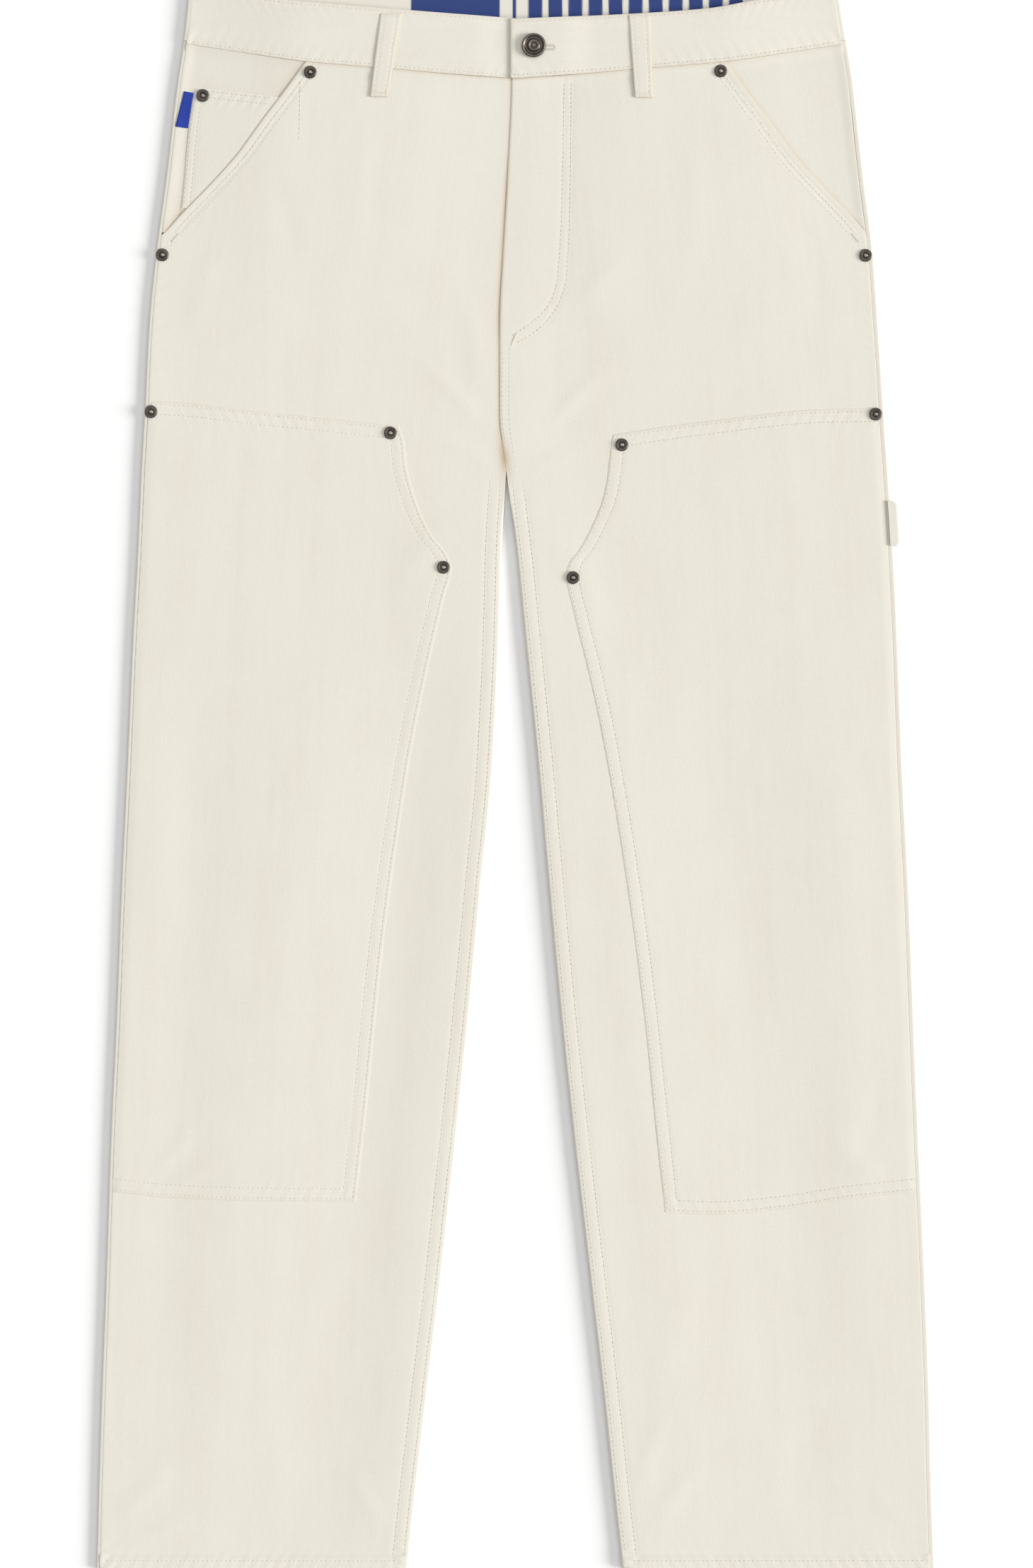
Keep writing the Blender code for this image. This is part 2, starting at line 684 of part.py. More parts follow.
def side_tab():
    places = []
    for part in (0.0, 0.33, 0.67, 1.0):
        row = []
        for share in (0.0, 0.33, 0.67, 1.0):
            down = TAB["top"] + TAB["length"] * part - TAB["slope"] * 0.5 * share
            start = read(COIN_SIDE, down, "down", "out") + 2 * GAP
            row.append((across_at(RIGHT, start + TAB["width"] * share, down), down))
        places.append(row)
    return patch("side_tab", facing_point, RIGHT, places, 2 * GAP, 2 * GAP + TAB_CLOTH, BLUE)


def belt_loop(side):
    """A folded strip, sewn flat at its two ends and bowed over the waistband between them."""
    top, foot = BELT_LOOPS[side.name]
    grids = ([], [])
    for station in LOOP_SHAPE:
        out, down = mix(top.out, foot.out, station.along), mix(top.down, foot.down, station.along)
        half = mix(BELT_LOOP["width"], BELT_LOOP["foot_width"], station.along) / 2
        height = band_height(side, out, down) + station.lift
        for grid, above in zip(grids, (BELT_LOOP["cloth"], 0.0)):
            grid.append([place(side, out + half * way, down, height + above) for way in (-1, 0, 1)])
    return shell("belt_loop_" + side.name, *grids, CREAM_DOUBLE)


def hammer_loop():
    """A folded strip in the left side seam, bent round beside the leg down to the surface."""
    size = HAMMER_LOOP
    radius = size["height"] / 2
    grids = ([], [])
    for down, short in ((size["top"], size["corner"]), (size["top"] + size["corner"], 0.0),
                        (size["foot"] - size["corner"], 0.0), (size["foot"], size["corner"])):
        edge = outer_edge(LEFT, down)
        centre = edge + size["reach"] - short - radius
        for grid, inset in zip(grids, (0.0, size["cloth"])):
            row = [place(LEFT, edge - size["seat"], down, size["height"] - inset)]
            for degrees in range(90, -91, -30):
                turn = math.radians(degrees)
                row.append(place(LEFT, centre + (radius - inset) * math.cos(turn), down,
                                 radius + (radius - inset) * math.sin(turn)))
            row.append(place(LEFT, edge + 2 * GAP, down, inset))
            grid.append(row)
    return shell("hammer_loop", *grids, CREAM_DOUBLE)


def turned(name, profile, sides, seat, normal, finish):
    """A round piece turned about the normal of the face that it sits on."""
    work = bmesh.new()
    across = normal.orthogonal().normalized()
    along = normal.cross(across)
    rings = []
    for turn in profile:
        ring = []
        for n in range(sides):
            angle = 2 * math.pi * n / sides
            spoke = across * math.cos(angle) + along * math.sin(angle)
            ring.append(work.verts.new(seat + (spoke * turn.radius + normal * turn.height) * MM))
        rings.append(ring)
    for low, high in zip(rings, rings[1:]):
        for n in range(sides):
            work.faces.new((low[n], low[(n + 1) % sides], high[(n + 1) % sides], high[n]))
    work.faces.new(rings[0])
    work.faces.new(rings[-1])
    return new_object(name, work, finish)


def seat_point(rivet, height):
    point_of = facing_point if rivet.seat == "coin" else front_point
    across = across_at(rivet.side, rivet.out, rivet.down)
    return raised(point_of, rivet.side, across, rivet.down, height)


def add_rivet(rivet):
    lift = RIVET_LIFT + {"front": 0.0, "coin": GAP + COIN_CLOTH, "patch": GAP + PATCH_CLOTH}[rivet.seat]
    seat = seat_point(rivet, lift)
    normal = (seat - seat_point(rivet, 0.0)).normalized()
    return turned(rivet.name, RIVET_PROFILE, RIVET_SIDES, seat, normal, METAL)


def waist_button():
    height = band_height(LEFT, BUTTON["out"], BUTTON["down"]) + GAP
    seat = place(LEFT, BUTTON["out"], BUTTON["down"], height)
    return turned("waist_button", BUTTON_PROFILE, BUTTON_SIDES, seat, Vector((0.0, 0.0, 1.0)), METAL)


clear_scene()
for side in (RIGHT, LEFT):
    back_panel(side)
    front_panel(side)
    facing(side)
    knee_panel(side)
    band_front(side)
    belt_loop(side)
band_back()
coin_pocket()
side_tab()
hammer_loop()
waist_button()
for rivet in RIVETS:
    add_rivet(rivet)
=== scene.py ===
import math

import bmesh
import bpy
import numpy as np
from mathutils import Matrix, Vector


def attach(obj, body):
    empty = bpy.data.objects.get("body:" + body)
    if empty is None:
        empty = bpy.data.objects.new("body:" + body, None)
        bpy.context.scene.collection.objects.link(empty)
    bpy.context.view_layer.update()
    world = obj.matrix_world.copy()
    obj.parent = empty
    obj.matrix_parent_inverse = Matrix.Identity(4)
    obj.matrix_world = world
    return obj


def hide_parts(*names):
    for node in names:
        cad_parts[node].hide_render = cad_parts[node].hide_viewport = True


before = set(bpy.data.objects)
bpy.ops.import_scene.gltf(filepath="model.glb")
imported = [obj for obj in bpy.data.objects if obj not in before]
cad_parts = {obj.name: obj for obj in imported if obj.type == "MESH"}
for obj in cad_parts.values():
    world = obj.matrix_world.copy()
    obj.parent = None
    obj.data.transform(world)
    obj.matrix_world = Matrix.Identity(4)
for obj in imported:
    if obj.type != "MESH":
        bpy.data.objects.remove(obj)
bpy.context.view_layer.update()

print("jeans: frame loaded,", len(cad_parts), "nodes")

# all sizes are millimetres on the laid garment: "down" from the back waistband's top, "out" from the
# centre line, "across" along the cloth from the side seam. Right and left are the wearer's.
mm = 0.001
cut = {
    "length": 1124.0, "crotch": 346.5, "inseamFormed": 400.0, "pocketFoot": 179.0, "backTop": 41.5,
    "cloth": 0.9, "thin": 0.42, "facingCloth": 0.7, "bandCloth": 1.6, "seam": 0.12,  # thicknesses and gap
    "patch": 0.34, "coin": 0.45, "tab": 0.7,  # how far the laid-on pieces rise
    "edgeRound": 1.9, "bandRound": 2.2, "turn": math.radians(12), "roll": 5.8,  # the pressed side edge
    "innerRoll": 2.8, "corner": 0.5, "shoulder": 82.0, "swell": 0.5, "crease": 0.65,
    "facingDrop": 0.54, "facingSink": 0.12, "facingEase": 8.0,
    "flyLap": 10.0, "flyFoot": (236.0, 272.0), "flyRise": (313.0, 345.0), "flyBlend": 34.0,
    "bandEnd": 4.2, "bandLap": 30.0, "bandLapBlend": 26.0, "bandHeight": 6.9, "bandUnder": 6.1,
    "bandDip": 3.0,
    "hemDepth": 10.0, "hemRise": 0.5, "hemCorner": 12.0, "hemLift": 2.5,
}
cut["rollLength"] = cut["turn"] * cut["roll"]
cut["rollSpan"] = cut["roll"] * math.sin(cut["turn"])
cut["rollDrop"] = cut["roll"] * (1 - math.cos(cut["turn"]))
cut["sideHeight"] = 2 * cut["edgeRound"] + cut["rollDrop"]
cut["bandSideHeight"] = 2 * cut["bandRound"] + cut["rollDrop"]
cut["bandOver"] = cut["bandUnder"] + cut["bandCloth"] + cut["seam"]

levels = {
    "down": [0, 43, 69, 140, 190, 244, 304, 346.5, 403, 463, 553, 643, 733, 823, 913, 1003, 1063, 1124],
    "rightOuter": [230.8, 235, 239, 247.5, 254.2, 259.5, 262.5, 265, 267.5, 270.8, 274.8, 279, 282.5,
                   286.6, 289.6, 293, 294.9, 296.4],
    "leftOuter": [227.8, 234.3, 238.5, 246.5, 252.8, 256.7, 260.6, 263.6, 267.2, 270.2, 273.6, 278.3,
                  281.8, 285.5, 289.6, 292.9, 294.3, 296.4],
    "middle": [5.6, 5.6, 5.6, 5.6, 5.2, 4.7, 4.3, 4.1, 4.1, 4.1, 4.1, 4.1, 4.1, 4.1, 4.1, 4.1, 4.1, 4.3],
    "inside": [4.4, 4.4, 4.4, 4.4, 4.4, 4.3, 4.2, 4.2, 4.8, 5.0, 5.0, 5.0, 5.0, 5.0, 5.0, 5.0, 5.0, 5.0],
    "legDown": [346.5, 403, 463, 553, 643, 733, 823, 913, 1003, 1063, 1124],
    "rightInner": [6.6, 9.8, 11.4, 15.8, 24.5, 33, 42.3, 52, 62.8, 69.8, 76.5],
    "leftInner": [-6.3, 0.8, 6.8, 15.8, 23.8, 32.3, 41.9, 52.3, 62.7, 69, 76],
    "flyDown": [0, 69, 140, 190, 244, 304, 346.5],
    "flyOut": [2.8, 2.8, 5.8, 8.8, 11.3, 11.3, 6.45],
}


def smoothCurve(xs, ys):  # the same smooth curve through points as the frame's own
    xs, ys = np.array(xs, float), np.array(ys, float)
    order = np.argsort(xs)
    xs, ys = xs[order], ys[order]
    runs = np.diff(ys) / np.diff(xs)
    before, after = np.r_[runs[0], runs], np.r_[runs, runs[-1]]
    total = np.where(before * after > 0, before + after, 1.0)
    slopes = np.where(before * after > 0, 2 * before * after / total, 0.0)
    fine = np.linspace(xs[0], xs[-1], 3000)
    k = np.clip(np.searchsorted(xs, fine, side="right") - 1, 0, len(xs) - 2)
    width = xs[k + 1] - xs[k]
    t = (fine - xs[k]) / width
    values = (ys[k] * (1 + 2 * t) * (1 - t) ** 2 + slopes[k] * width * t * (1 - t) ** 2
              + ys[k + 1] * t * t * (3 - 2 * t) - slopes[k + 1] * width * t * t * (1 - t))
    return lambda x: np.interp(x, fine, values)


def curveOf(points, byDown=False):  # a curve through (out, down) points
    outs, downs = zip(*points)
    return smoothCurve(downs, outs) if byDown else smoothCurve(outs, downs)


middleHeight = smoothCurve(levels["down"], levels["middle"])
insideHeight = smoothCurve(levels["down"], levels["inside"])
flyOut = smoothCurve(levels["flyDown"], levels["flyOut"])
right = {"name": "right", "sign": -1, "strip": 2.5,
         "outer": smoothCurve(levels["down"], levels["rightOuter"]),
         "leg": smoothCurve(levels["legDown"], levels["rightInner"])}
left = {"name": "left", "sign": 1, "strip": 3.4,
        "outer": smoothCurve(levels["down"], levels["leftOuter"]),
        "leg": smoothCurve(levels["legDown"], levels["leftInner"])}
waistSeam = curveOf([(0, 68.5), (50, 65), (85, 62), (115, 59.5), (149, 56.5), (195, 49.7), (236, 43.3)])
slantOut = curveOf([(148.5, 56.5), (162, 75), (178.5, 96.5), (198, 123), (217, 144), (236, 163.5),
                    (251.5, 181)], byDown=True)
bandTop = {
    "right": curveOf([(0, 26), (60, 21.5), (114, 17), (160, 13), (231, 3)]),
    "left": curveOf([(0, 26.5), (80, 23), (136, 19), (170, 13), (228, 4)]),
}


def ease(x):
    x = np.clip(x, 0.0, 1.0)
    return x * x * (3 - 2 * x)


def mix(a, b, t):
    return a + (b - a) * t


def innerEdge(side, down):
    return np.where(down <= cut["crotch"], -side["sign"] * flyOut(down), side["leg"](down))


def place(side, out, down, height):
    return np.stack([side["sign"] * out, cut["length"] / 2 - down + 0 * out, height + 0 * out], -1)


hardlyTurned = 1e-4  # radians, below which the inner edge is still flat


def innerTurn(down):
    part = (down - cut["crotch"]) / (cut["inseamFormed"] - cut["crotch"])
    return math.radians(90) * ease(part)


# the creases laid into the cloth, each a soft ridge or trough:
# from out, from down, to out, to down, width, height
creases = {
    "right": [
        (22, 318, 78, 262, 6.0, 0.45), (16, 338, 60, 330, 4.5, 0.40), (26, 300, 44, 205, 8.0, 0.35),
        (96, 80, 108, 215, 9.0, 0.30), (168, 120, 150, 205, 8.0, -0.30),
        (205, 175, 228, 262, 9.0, 0.35), (30, 372, 92, 440, 9.0, 0.35),
        (262, 845, 222, 800, 7.0, 0.45), (252, 850, 205, 832, 5.0, 0.35),
        (286, 1088, 240, 1040, 8.0, 0.50), (285, 1105, 226, 1082, 6.0, 0.40),
        (92, 1100, 128, 1046, 7.0, 0.40), (176, 1102, 168, 1010, 13.0, 0.35),
        (246, 560, 236, 700, 16.0, 0.35), (120, 880, 150, 1000, 14.0, 0.30)],
    "left": [
        (20, 322, 74, 268, 6.0, 0.45), (10, 342, 56, 334, 4.5, 0.40), (40, 236, 88, 190, 7.0, 0.35),
        (120, 90, 112, 240, 10.0, 0.30), (200, 160, 214, 268, 9.0, -0.30),
        (22, 388, 66, 470, 9.0, 0.35), (262, 846, 222, 812, 7.0, 0.45),
        (258, 770, 228, 858, 9.0, -0.35), (240, 480, 252, 640, 15.0, 0.35),
        (96, 1098, 140, 1040, 8.0, 0.50), (88, 1080, 112, 1000, 7.0, 0.40),
        (284, 1092, 246, 1060, 7.0, 0.35), (200, 1102, 214, 1000, 12.0, -0.35),
        (118, 900, 96, 1010, 12.0, 0.30)],
}


def creaseHeight(side, out, down):
    total = 0.0
    for fromOut, fromDown, toOut, toDown, wide, high in creases[side["name"]]:
        ways, ahead = toOut - fromOut, toDown - fromDown
        length = np.hypot(ways, ahead)
        along = ((out - fromOut) * ways + (down - fromDown) * ahead) / length ** 2
        off = ((out - fromOut) * ahead - (down - fromDown) * ways) / length
        bow = 0.06 * length * np.sin(np.pi * np.clip(along, 0, 1))
        taper = ease(along / 0.35) * ease((1 - along) / 0.45)
        total = total + high * taper * np.exp(-((off - bow) / wide) ** 2)
    return cut["crease"] * total


def swell(side, out, down):
    along = ease((down - 420) / 160) * ease((cut["length"] - down) / 160)
    inwards, outwards = side["outer"](down) - out, out - innerEdge(side, down)
    across = ease((inwards - 12) / 40) * ease((outwards - 12) / 40)
    return cut["swell"] * along * across * np.sin((out - 0.12 * down + 40 * side["sign"]) / 27)


def lapRise(side, out, down):
    if side is right:
        return 0.0
    across = 1 - ease((out - innerEdge(side, down) - cut["flyLap"] - 2) / cut["flyBlend"])
    along = 1 - ease((down - cut["flyRise"][0]) / (cut["flyRise"][1] - cut["flyRise"][0]))
    return (cut["thin"] + cut["seam"]) * across * along


def frontHeight(side, out, down):
    fromSide, fromInside = side["outer"](down) - out, out - innerEdge(side, down)
    middle = middleHeight(down)
    height = middle + (cut["sideHeight"] - middle) * (1 - ease((fromSide - 6) / cut["shoulder"]))
    height = height + (insideHeight(down) - middle) * (1 - ease((fromInside - 4) / cut["shoulder"]))
    return height + swell(side, out, down) + lapRise(side, out, down) + creaseHeight(side, out, down)


def bandHeight(side, out, down):
    fromSide = side["outer"](down) - out
    flat, high = cut["bandHeight"], cut["bandSideHeight"]
    height = flat + (high - flat) * (1 - ease((fromSide - 6) / cut["shoulder"]))
    if side is right:
        return height + (cut["bandUnder"] - flat) * (1 - ease((out - cut["bandEnd"]) / cut["bandLapBlend"]))
    return height + (cut["bandOver"] - flat) * (1 - ease((out - cut["bandLap"] - 1) / cut["bandLapBlend"]))


def rolled(side, across, down, start, height):
    edge = side["outer"](down) - start
    angle = cut["turn"] * (1 - np.clip(across / cut["rollLength"], None, 1.0))
    rolling = across < cut["rollLength"]
    onRoll = edge - cut["roll"] * (math.sin(cut["turn"]) - np.sin(angle))
    out = np.where(rolling, onRoll, edge - cut["rollSpan"] - (across - cut["rollLength"]))
    drop = np.where(rolling, cut["roll"] * (1 - np.cos(angle)), 0.0)
    turn = innerTurn(down)
    fromInside = out - innerEdge(side, down)
    near = (turn > hardlyTurned) & (fromInside < cut["innerRoll"])
    bend = turn * (1 - np.clip(fromInside, 0.0, None) / cut["innerRoll"])
    reach = (np.sin(np.where(near, bend, 0.0)) / np.maximum(np.sin(turn), hardlyTurned)) ** cut["corner"]
    out = np.where(near, innerEdge(side, down) + cut["innerRoll"] * (1 - reach), out)
    fall = 1 - np.cos(np.where(near, bend, 0.0)) ** cut["corner"]
    drop = drop + np.where(near, (insideHeight(down) - cut["seam"]) / 2 * fall, 0.0)
    return place(side, out, down, height(side, out, down) - drop)


def frontPoint(side, across, down):
    return rolled(side, across, down, side["strip"] + cut["seam"], frontHeight)


def bandPoint(side, across, down):
    return rolled(side, across, down, side["strip"] + cut["seam"], bandHeight)


def facingPoint(side, across, down):
    depth = mix(cut["facingSink"], cut["facingDrop"], ease(across / cut["facingEase"]))
    return raised(frontPoint, side, across, down, -depth)


def normalAt(pointOf, side, across, down):
    step = 0.4
    ways = pointOf(side, across + step, down) - pointOf(side, np.maximum(across - step, 0.0), down)
    along = pointOf(side, across, down + step) - pointOf(side, across, down - step)
    normal = np.cross(ways, along)
    normal /= np.linalg.norm(normal, axis=-1, keepdims=True)
    return normal * np.where(normal[..., 2:] < 0, -1.0, 1.0)


def raised(pointOf, side, across, down, lift):
    lift = np.asarray(lift, float)[..., None] if np.ndim(lift) else lift
    return pointOf(side, across, down) + normalAt(pointOf, side, across, down) * lift


def outAt(side, across, down, pointOf=frontPoint):  # how far a point of the cloth lies from the centre line
    return side["sign"] * pointOf(side, across, down)[..., 0]


def acrossAt(side, out, down):
    inwards = side["outer"](down) - side["strip"] - cut["seam"] - out
    sine = np.clip((cut["rollSpan"] - inwards) / cut["roll"], 0.0, math.sin(cut["turn"]))
    onRoll = cut["rollLength"] * (1 - np.arcsin(sine) / cut["turn"])
    return np.where(inwards >= cut["rollSpan"], cut["rollLength"] + inwards - cut["rollSpan"], onRoll)


def frontWidth(side, down, start):
    return cut["rollLength"] + side["outer"](down) - start - cut["rollSpan"] - innerEdge(side, down)


def slantAcross(side, down):
    return np.where(down >= cut["pocketFoot"], 0.0, acrossAt(side, slantOut(down), down))


def hemDown(side, out):
    foot = cut["length"]
    nearest = np.minimum(side["outer"](foot) - out, out - innerEdge(side, foot))
    return foot - cut["hemLift"] * (1 - ease(nearest / cut["hemCorner"])) ** 2


def wander(x, seed):  # a slow, even-handed wobble between -1 and 1
    return (np.sin(x * 1.0 + seed) + np.sin(x * 0.47 + seed * 2.3) + np.sin(x * 0.21 + seed * 4.1)) / 3


class Nodes:  # a short way to write a material's node tree
    def __init__(self, name, sockets):
        self.material = bpy.data.materials.new(name)
        self.material.use_nodes = True
        self.tree = self.material.node_tree
        self.shader = self.tree.nodes["Principled BSDF"]
        for socket, value in sockets.items():
            self.shader.inputs[socket].default_value = value

    def add(self, kind, settings=None, sockets=None):
        node = self.tree.nodes.new("ShaderNode" + kind)
        for key, value in (settings or {}).items():
            setattr(node, key, value)
        for key, value in (sockets or {}).items():
            node.inputs[key].default_value = value
        return node

    def link(self, source, target):
        self.tree.links.new(source, target)
        return source

    def noise(self, where, scale, detail=2.0, roughness=0.5, stretch=None):
        node = self.add("TexNoise", {}, {"Scale": scale, "Detail": detail, "Roughness": roughness})
        if stretch:
            mapping = self.add("Mapping", {}, {"Scale": stretch})
            self.link(where, mapping.inputs["Vector"])
            where = mapping.outputs["Vector"]
        self.link(where, node.inputs["Vector"])
        return node.outputs["Fac"]

    def waves(self, where, pitch, turn, distortion=0.0):  # straight ribs, pitch in metres
        mapping = self.add("Mapping", {}, {"Rotation": (0.0, 0.0, math.radians(turn))})
        wave = self.add("TexWave", {"wave_type": "BANDS", "bands_direction": "X"},
                        {"Scale": 2 * math.pi / 20 / pitch, "Distortion": distortion, "Detail": 1.0,
                         "Detail Scale": 2.0})
        self.link(where, mapping.inputs["Vector"])
        self.link(mapping.outputs["Vector"], wave.inputs["Vector"])
        return wave.outputs["Fac"]

    def math(self, operation, a, b):
        node = self.add("Math", {"operation": operation})
        for socket, value in zip(node.inputs, (a, b)):
            if isinstance(value, (int, float)):
                socket.default_value = value
            else:
                self.link(value, socket)
        return node.outputs["Value"]

    def weigh(self, parts):  # the sum of (output, weight) pairs
        total = None
        for output, weight in parts:
            scaled = self.math("MULTIPLY", output, weight)
            total = scaled if total is None else self.math("ADD", total, scaled)
        return total

    def ramp(self, source, stops):
        node = self.add("ValToRGB")
        line = node.color_ramp
        while len(line.elements) < len(stops):
            line.elements.new(0.5)
        for element, (at, colour) in zip(line.elements, stops):
            element.position, element.color = at, (*colour, 1.0)
        self.link(source, node.inputs["Fac"])
        return node.outputs["Color"]

    def bump(self, height, distance, strength=1.0):
        node = self.add("Bump", {}, {"Strength": strength, "Distance": distance})
        self.link(height, node.inputs["Height"])
        self.link(node.outputs["Normal"], self.shader.inputs["Normal"])

    def blend(self, attribute, first, second):  # from one colour to another by a value stored on the mesh
        node = self.add("Mix", {"data_type": "RGBA", "blend_type": "MIX"})
        amount = self.add("Attribute", {"attribute_name": attribute})
        self.link(amount.outputs["Fac"], node.inputs["Factor"])
        for name, colour in (("A", first), ("B", second)):
            if isinstance(colour, tuple):
                node.inputs[name].default_value = (*colour, 1.0)
            else:
                self.link(colour, node.inputs[name])
        return node.outputs["Result"]


def shade(colour, factor):
    return tuple(channel * factor for channel in colour)


denimFinish = {
    # cream and warm are the cloth's own tones; the brown is painted shade for folds, gaps and seams
    "cream": (0.730, 0.699, 0.621), "warm": (0.716, 0.676, 0.588), "paintedShade": (0.47, 0.33, 0.19),
    "print": (0.005, 0.030, 0.17), "roughness": 0.86, "sheen": 0.22, "bump": 0.00018, "twill": 0.85,
    # the weave's marks, each (across, along) the cloth in millimetres
    "slubs": (0.6, 9), "streaks": (4.5, 60), "bands": (26, 260), "cross": (14, 0.7),
}


def creamDenim(name, tone=1.0, turn=62.0):
    f = denimFinish
    m = Nodes(name, {"Roughness": f["roughness"], "Sheen Weight": f["sheen"], "Sheen Roughness": 0.45,
                     "Sheen Tint": (1.0, 0.98, 0.94, 1.0), "Specular IOR Level": 0.28})
    cloth = m.add("UVMap", {"uv_map": "cloth"}).outputs["UV"]
    body = m.add("TexCoord").outputs["Object"]

    def mark(kind, detail, roughness):
        across, along = f[kind]
        return m.noise(cloth, 1.0, detail, roughness, (1 / (across * mm), 1 / (along * mm), 1.0))

    twill = m.waves(cloth, f["twill"] * mm, turn, 0.6)
    slubs, streaks = mark("slubs", 3.0, 0.6), mark("streaks", 3.0, 0.6)
    bands, cross = mark("bands", 2.0, 0.5), mark("cross", 2.0, 0.5)
    fuzz = m.noise(cloth, 1600.0, 3.0, 0.6)
    mottle = m.noise(body, 26.0, 4.0, 0.55)
    colourMix = m.weigh([(slubs, 0.20), (cross, 0.12), (streaks, 0.20), (mottle, 0.20), (bands, 0.28)])
    deep, pale = shade(f["warm"], tone * 0.985), shade(f["cream"], tone)
    colour = m.ramp(colourMix, [(0.36, deep), (0.50, shade(pale, 0.995)), (0.64, shade(pale, 1.02))])
    printed = m.blend("print", colour, f["print"])
    # painted shade: the cloth's colour is blended towards the brown by the mesh's painted shade value
    m.link(m.blend("paintedShade", printed, f["paintedShade"]), m.shader.inputs["Base Color"])
    m.bump(m.weigh([(twill, 0.34), (slubs, 0.34), (cross, 0.16), (fuzz, 0.22), (mottle, 0.4)]), f["bump"])
    return m.material


def creamThreadAndShade():
    m = Nodes("creamThreadAndShade", {"Roughness": 0.62, "Sheen Weight": 0.2, "Specular IOR Level": 0.35})
    where = m.add("TexCoord").outputs["Object"]
    ply = m.noise(where, 2400.0, 2.0, 0.6)
    drift = m.noise(where, 60.0, 2.0, 0.5)
    # the thread's own tone-on-tone cream, made darker than it is to paint in the shade of the stitch
    # dimples
    colour = m.ramp(m.weigh([(ply, 0.6), (drift, 0.4)]),
                    [(0.3, (0.60, 0.55, 0.45)), (0.6, (0.69, 0.65, 0.56)), (0.8, (0.75, 0.71, 0.63))])
    m.link(colour, m.shader.inputs["Base Color"])
    m.bump(ply, 0.00008)
    return m.material


def tabBlue():
    m = Nodes("tabBlue", {"Roughness": 0.7, "Sheen Weight": 0.25, "Specular IOR Level": 0.3})
    cloth = m.add("UVMap", {"uv_map": "cloth"}).outputs["UV"]
    ribs = m.waves(cloth, 0.7 * mm, 90.0, 0.3)
    fibre = m.noise(cloth, 1500.0, 3.0, 0.6)
    colour = m.ramp(m.weigh([(ribs, 0.55), (fibre, 0.45)]),
                    [(0.2, (0.005, 0.024, 0.22)), (0.55, (0.009, 0.038, 0.34)),
                     (0.9, (0.020, 0.062, 0.45))])
    m.link(colour, m.shader.inputs["Base Color"])
    m.bump(m.weigh([(ribs, 0.7), (fibre, 0.3)]), 0.00018)
    return m.material


def antiqueMetal():
    m = Nodes("antiqueMetal", {"Metallic": 0.92, "Specular IOR Level": 0.5})
    where = m.add("TexCoord").outputs["Object"]
    tarnish = m.noise(where, 520.0, 4.0, 0.65)
    wear = m.noise(where, 160.0, 3.0, 0.55)
    both = m.weigh([(tarnish, 0.45), (wear, 0.55)])
    dark = m.ramp(both, [(0.32, (0.026, 0.021, 0.018)), (0.55, (0.058, 0.048, 0.041)),
                         (0.75, (0.12, 0.10, 0.085))])
    rubbed = m.ramp(both, [(0.32, (0.16, 0.135, 0.12)), (0.6, (0.36, 0.315, 0.28)),
                           (0.8, (0.50, 0.44, 0.39))])
    m.link(m.blend("worn", dark, rubbed), m.shader.inputs["Base Color"])
    m.link(m.math("ADD", m.math("MULTIPLY", tarnish, 0.35), 0.22), m.shader.inputs["Roughness"])
    m.bump(both, 0.00012)
    return m.material


def studioFloor():
    m = Nodes("paleFloor", {"Roughness": 0.9, "Specular IOR Level": 0.1})
    where = m.add("TexCoord").outputs["Object"]
    grain = m.noise(where, 90.0, 3.0, 0.5)
    m.link(m.ramp(grain, [(0.3, (0.885, 0.885, 0.885)), (0.7, (0.895, 0.895, 0.895))]),
           m.shader.inputs["Base Color"])
    return m.material


denim = creamDenim("creamDenim")
denimDouble = creamDenim("creamDenimDouble", 0.998, 58.0)
# the facing's copy of the denim: a little darker, painted shade for the recessed facing, with its twill
# turned the other way
denimInsideShaded = creamDenim("creamDenimInsideShaded", 0.988, -60.0)
thread, blueTab, metal, floorPaint = creamThreadAndShade(), tabBlue(), antiqueMetal(), studioFloor()
print("jeans: finishes ready")


def pieceFrom(name, work):  # a new object from a finished bmesh
    mesh = bpy.data.meshes.new(name)
    work.to_mesh(mesh)
    work.free()
    piece = bpy.data.objects.new(name, mesh)
    bpy.context.collection.objects.link(piece)
    return piece


# every piece goes through here: it rides on the garment and hides the frame nodes that it stands for
def finishPiece(piece, finish, nodes=()):
    piece.data.materials.clear()
    piece.data.materials.append(finish)
    piece.data.shade_smooth()
    piece.data.set_sharp_from_angle(angle=math.radians(42))
    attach(piece, "root")
    if nodes:
        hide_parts(*nodes)
    return piece


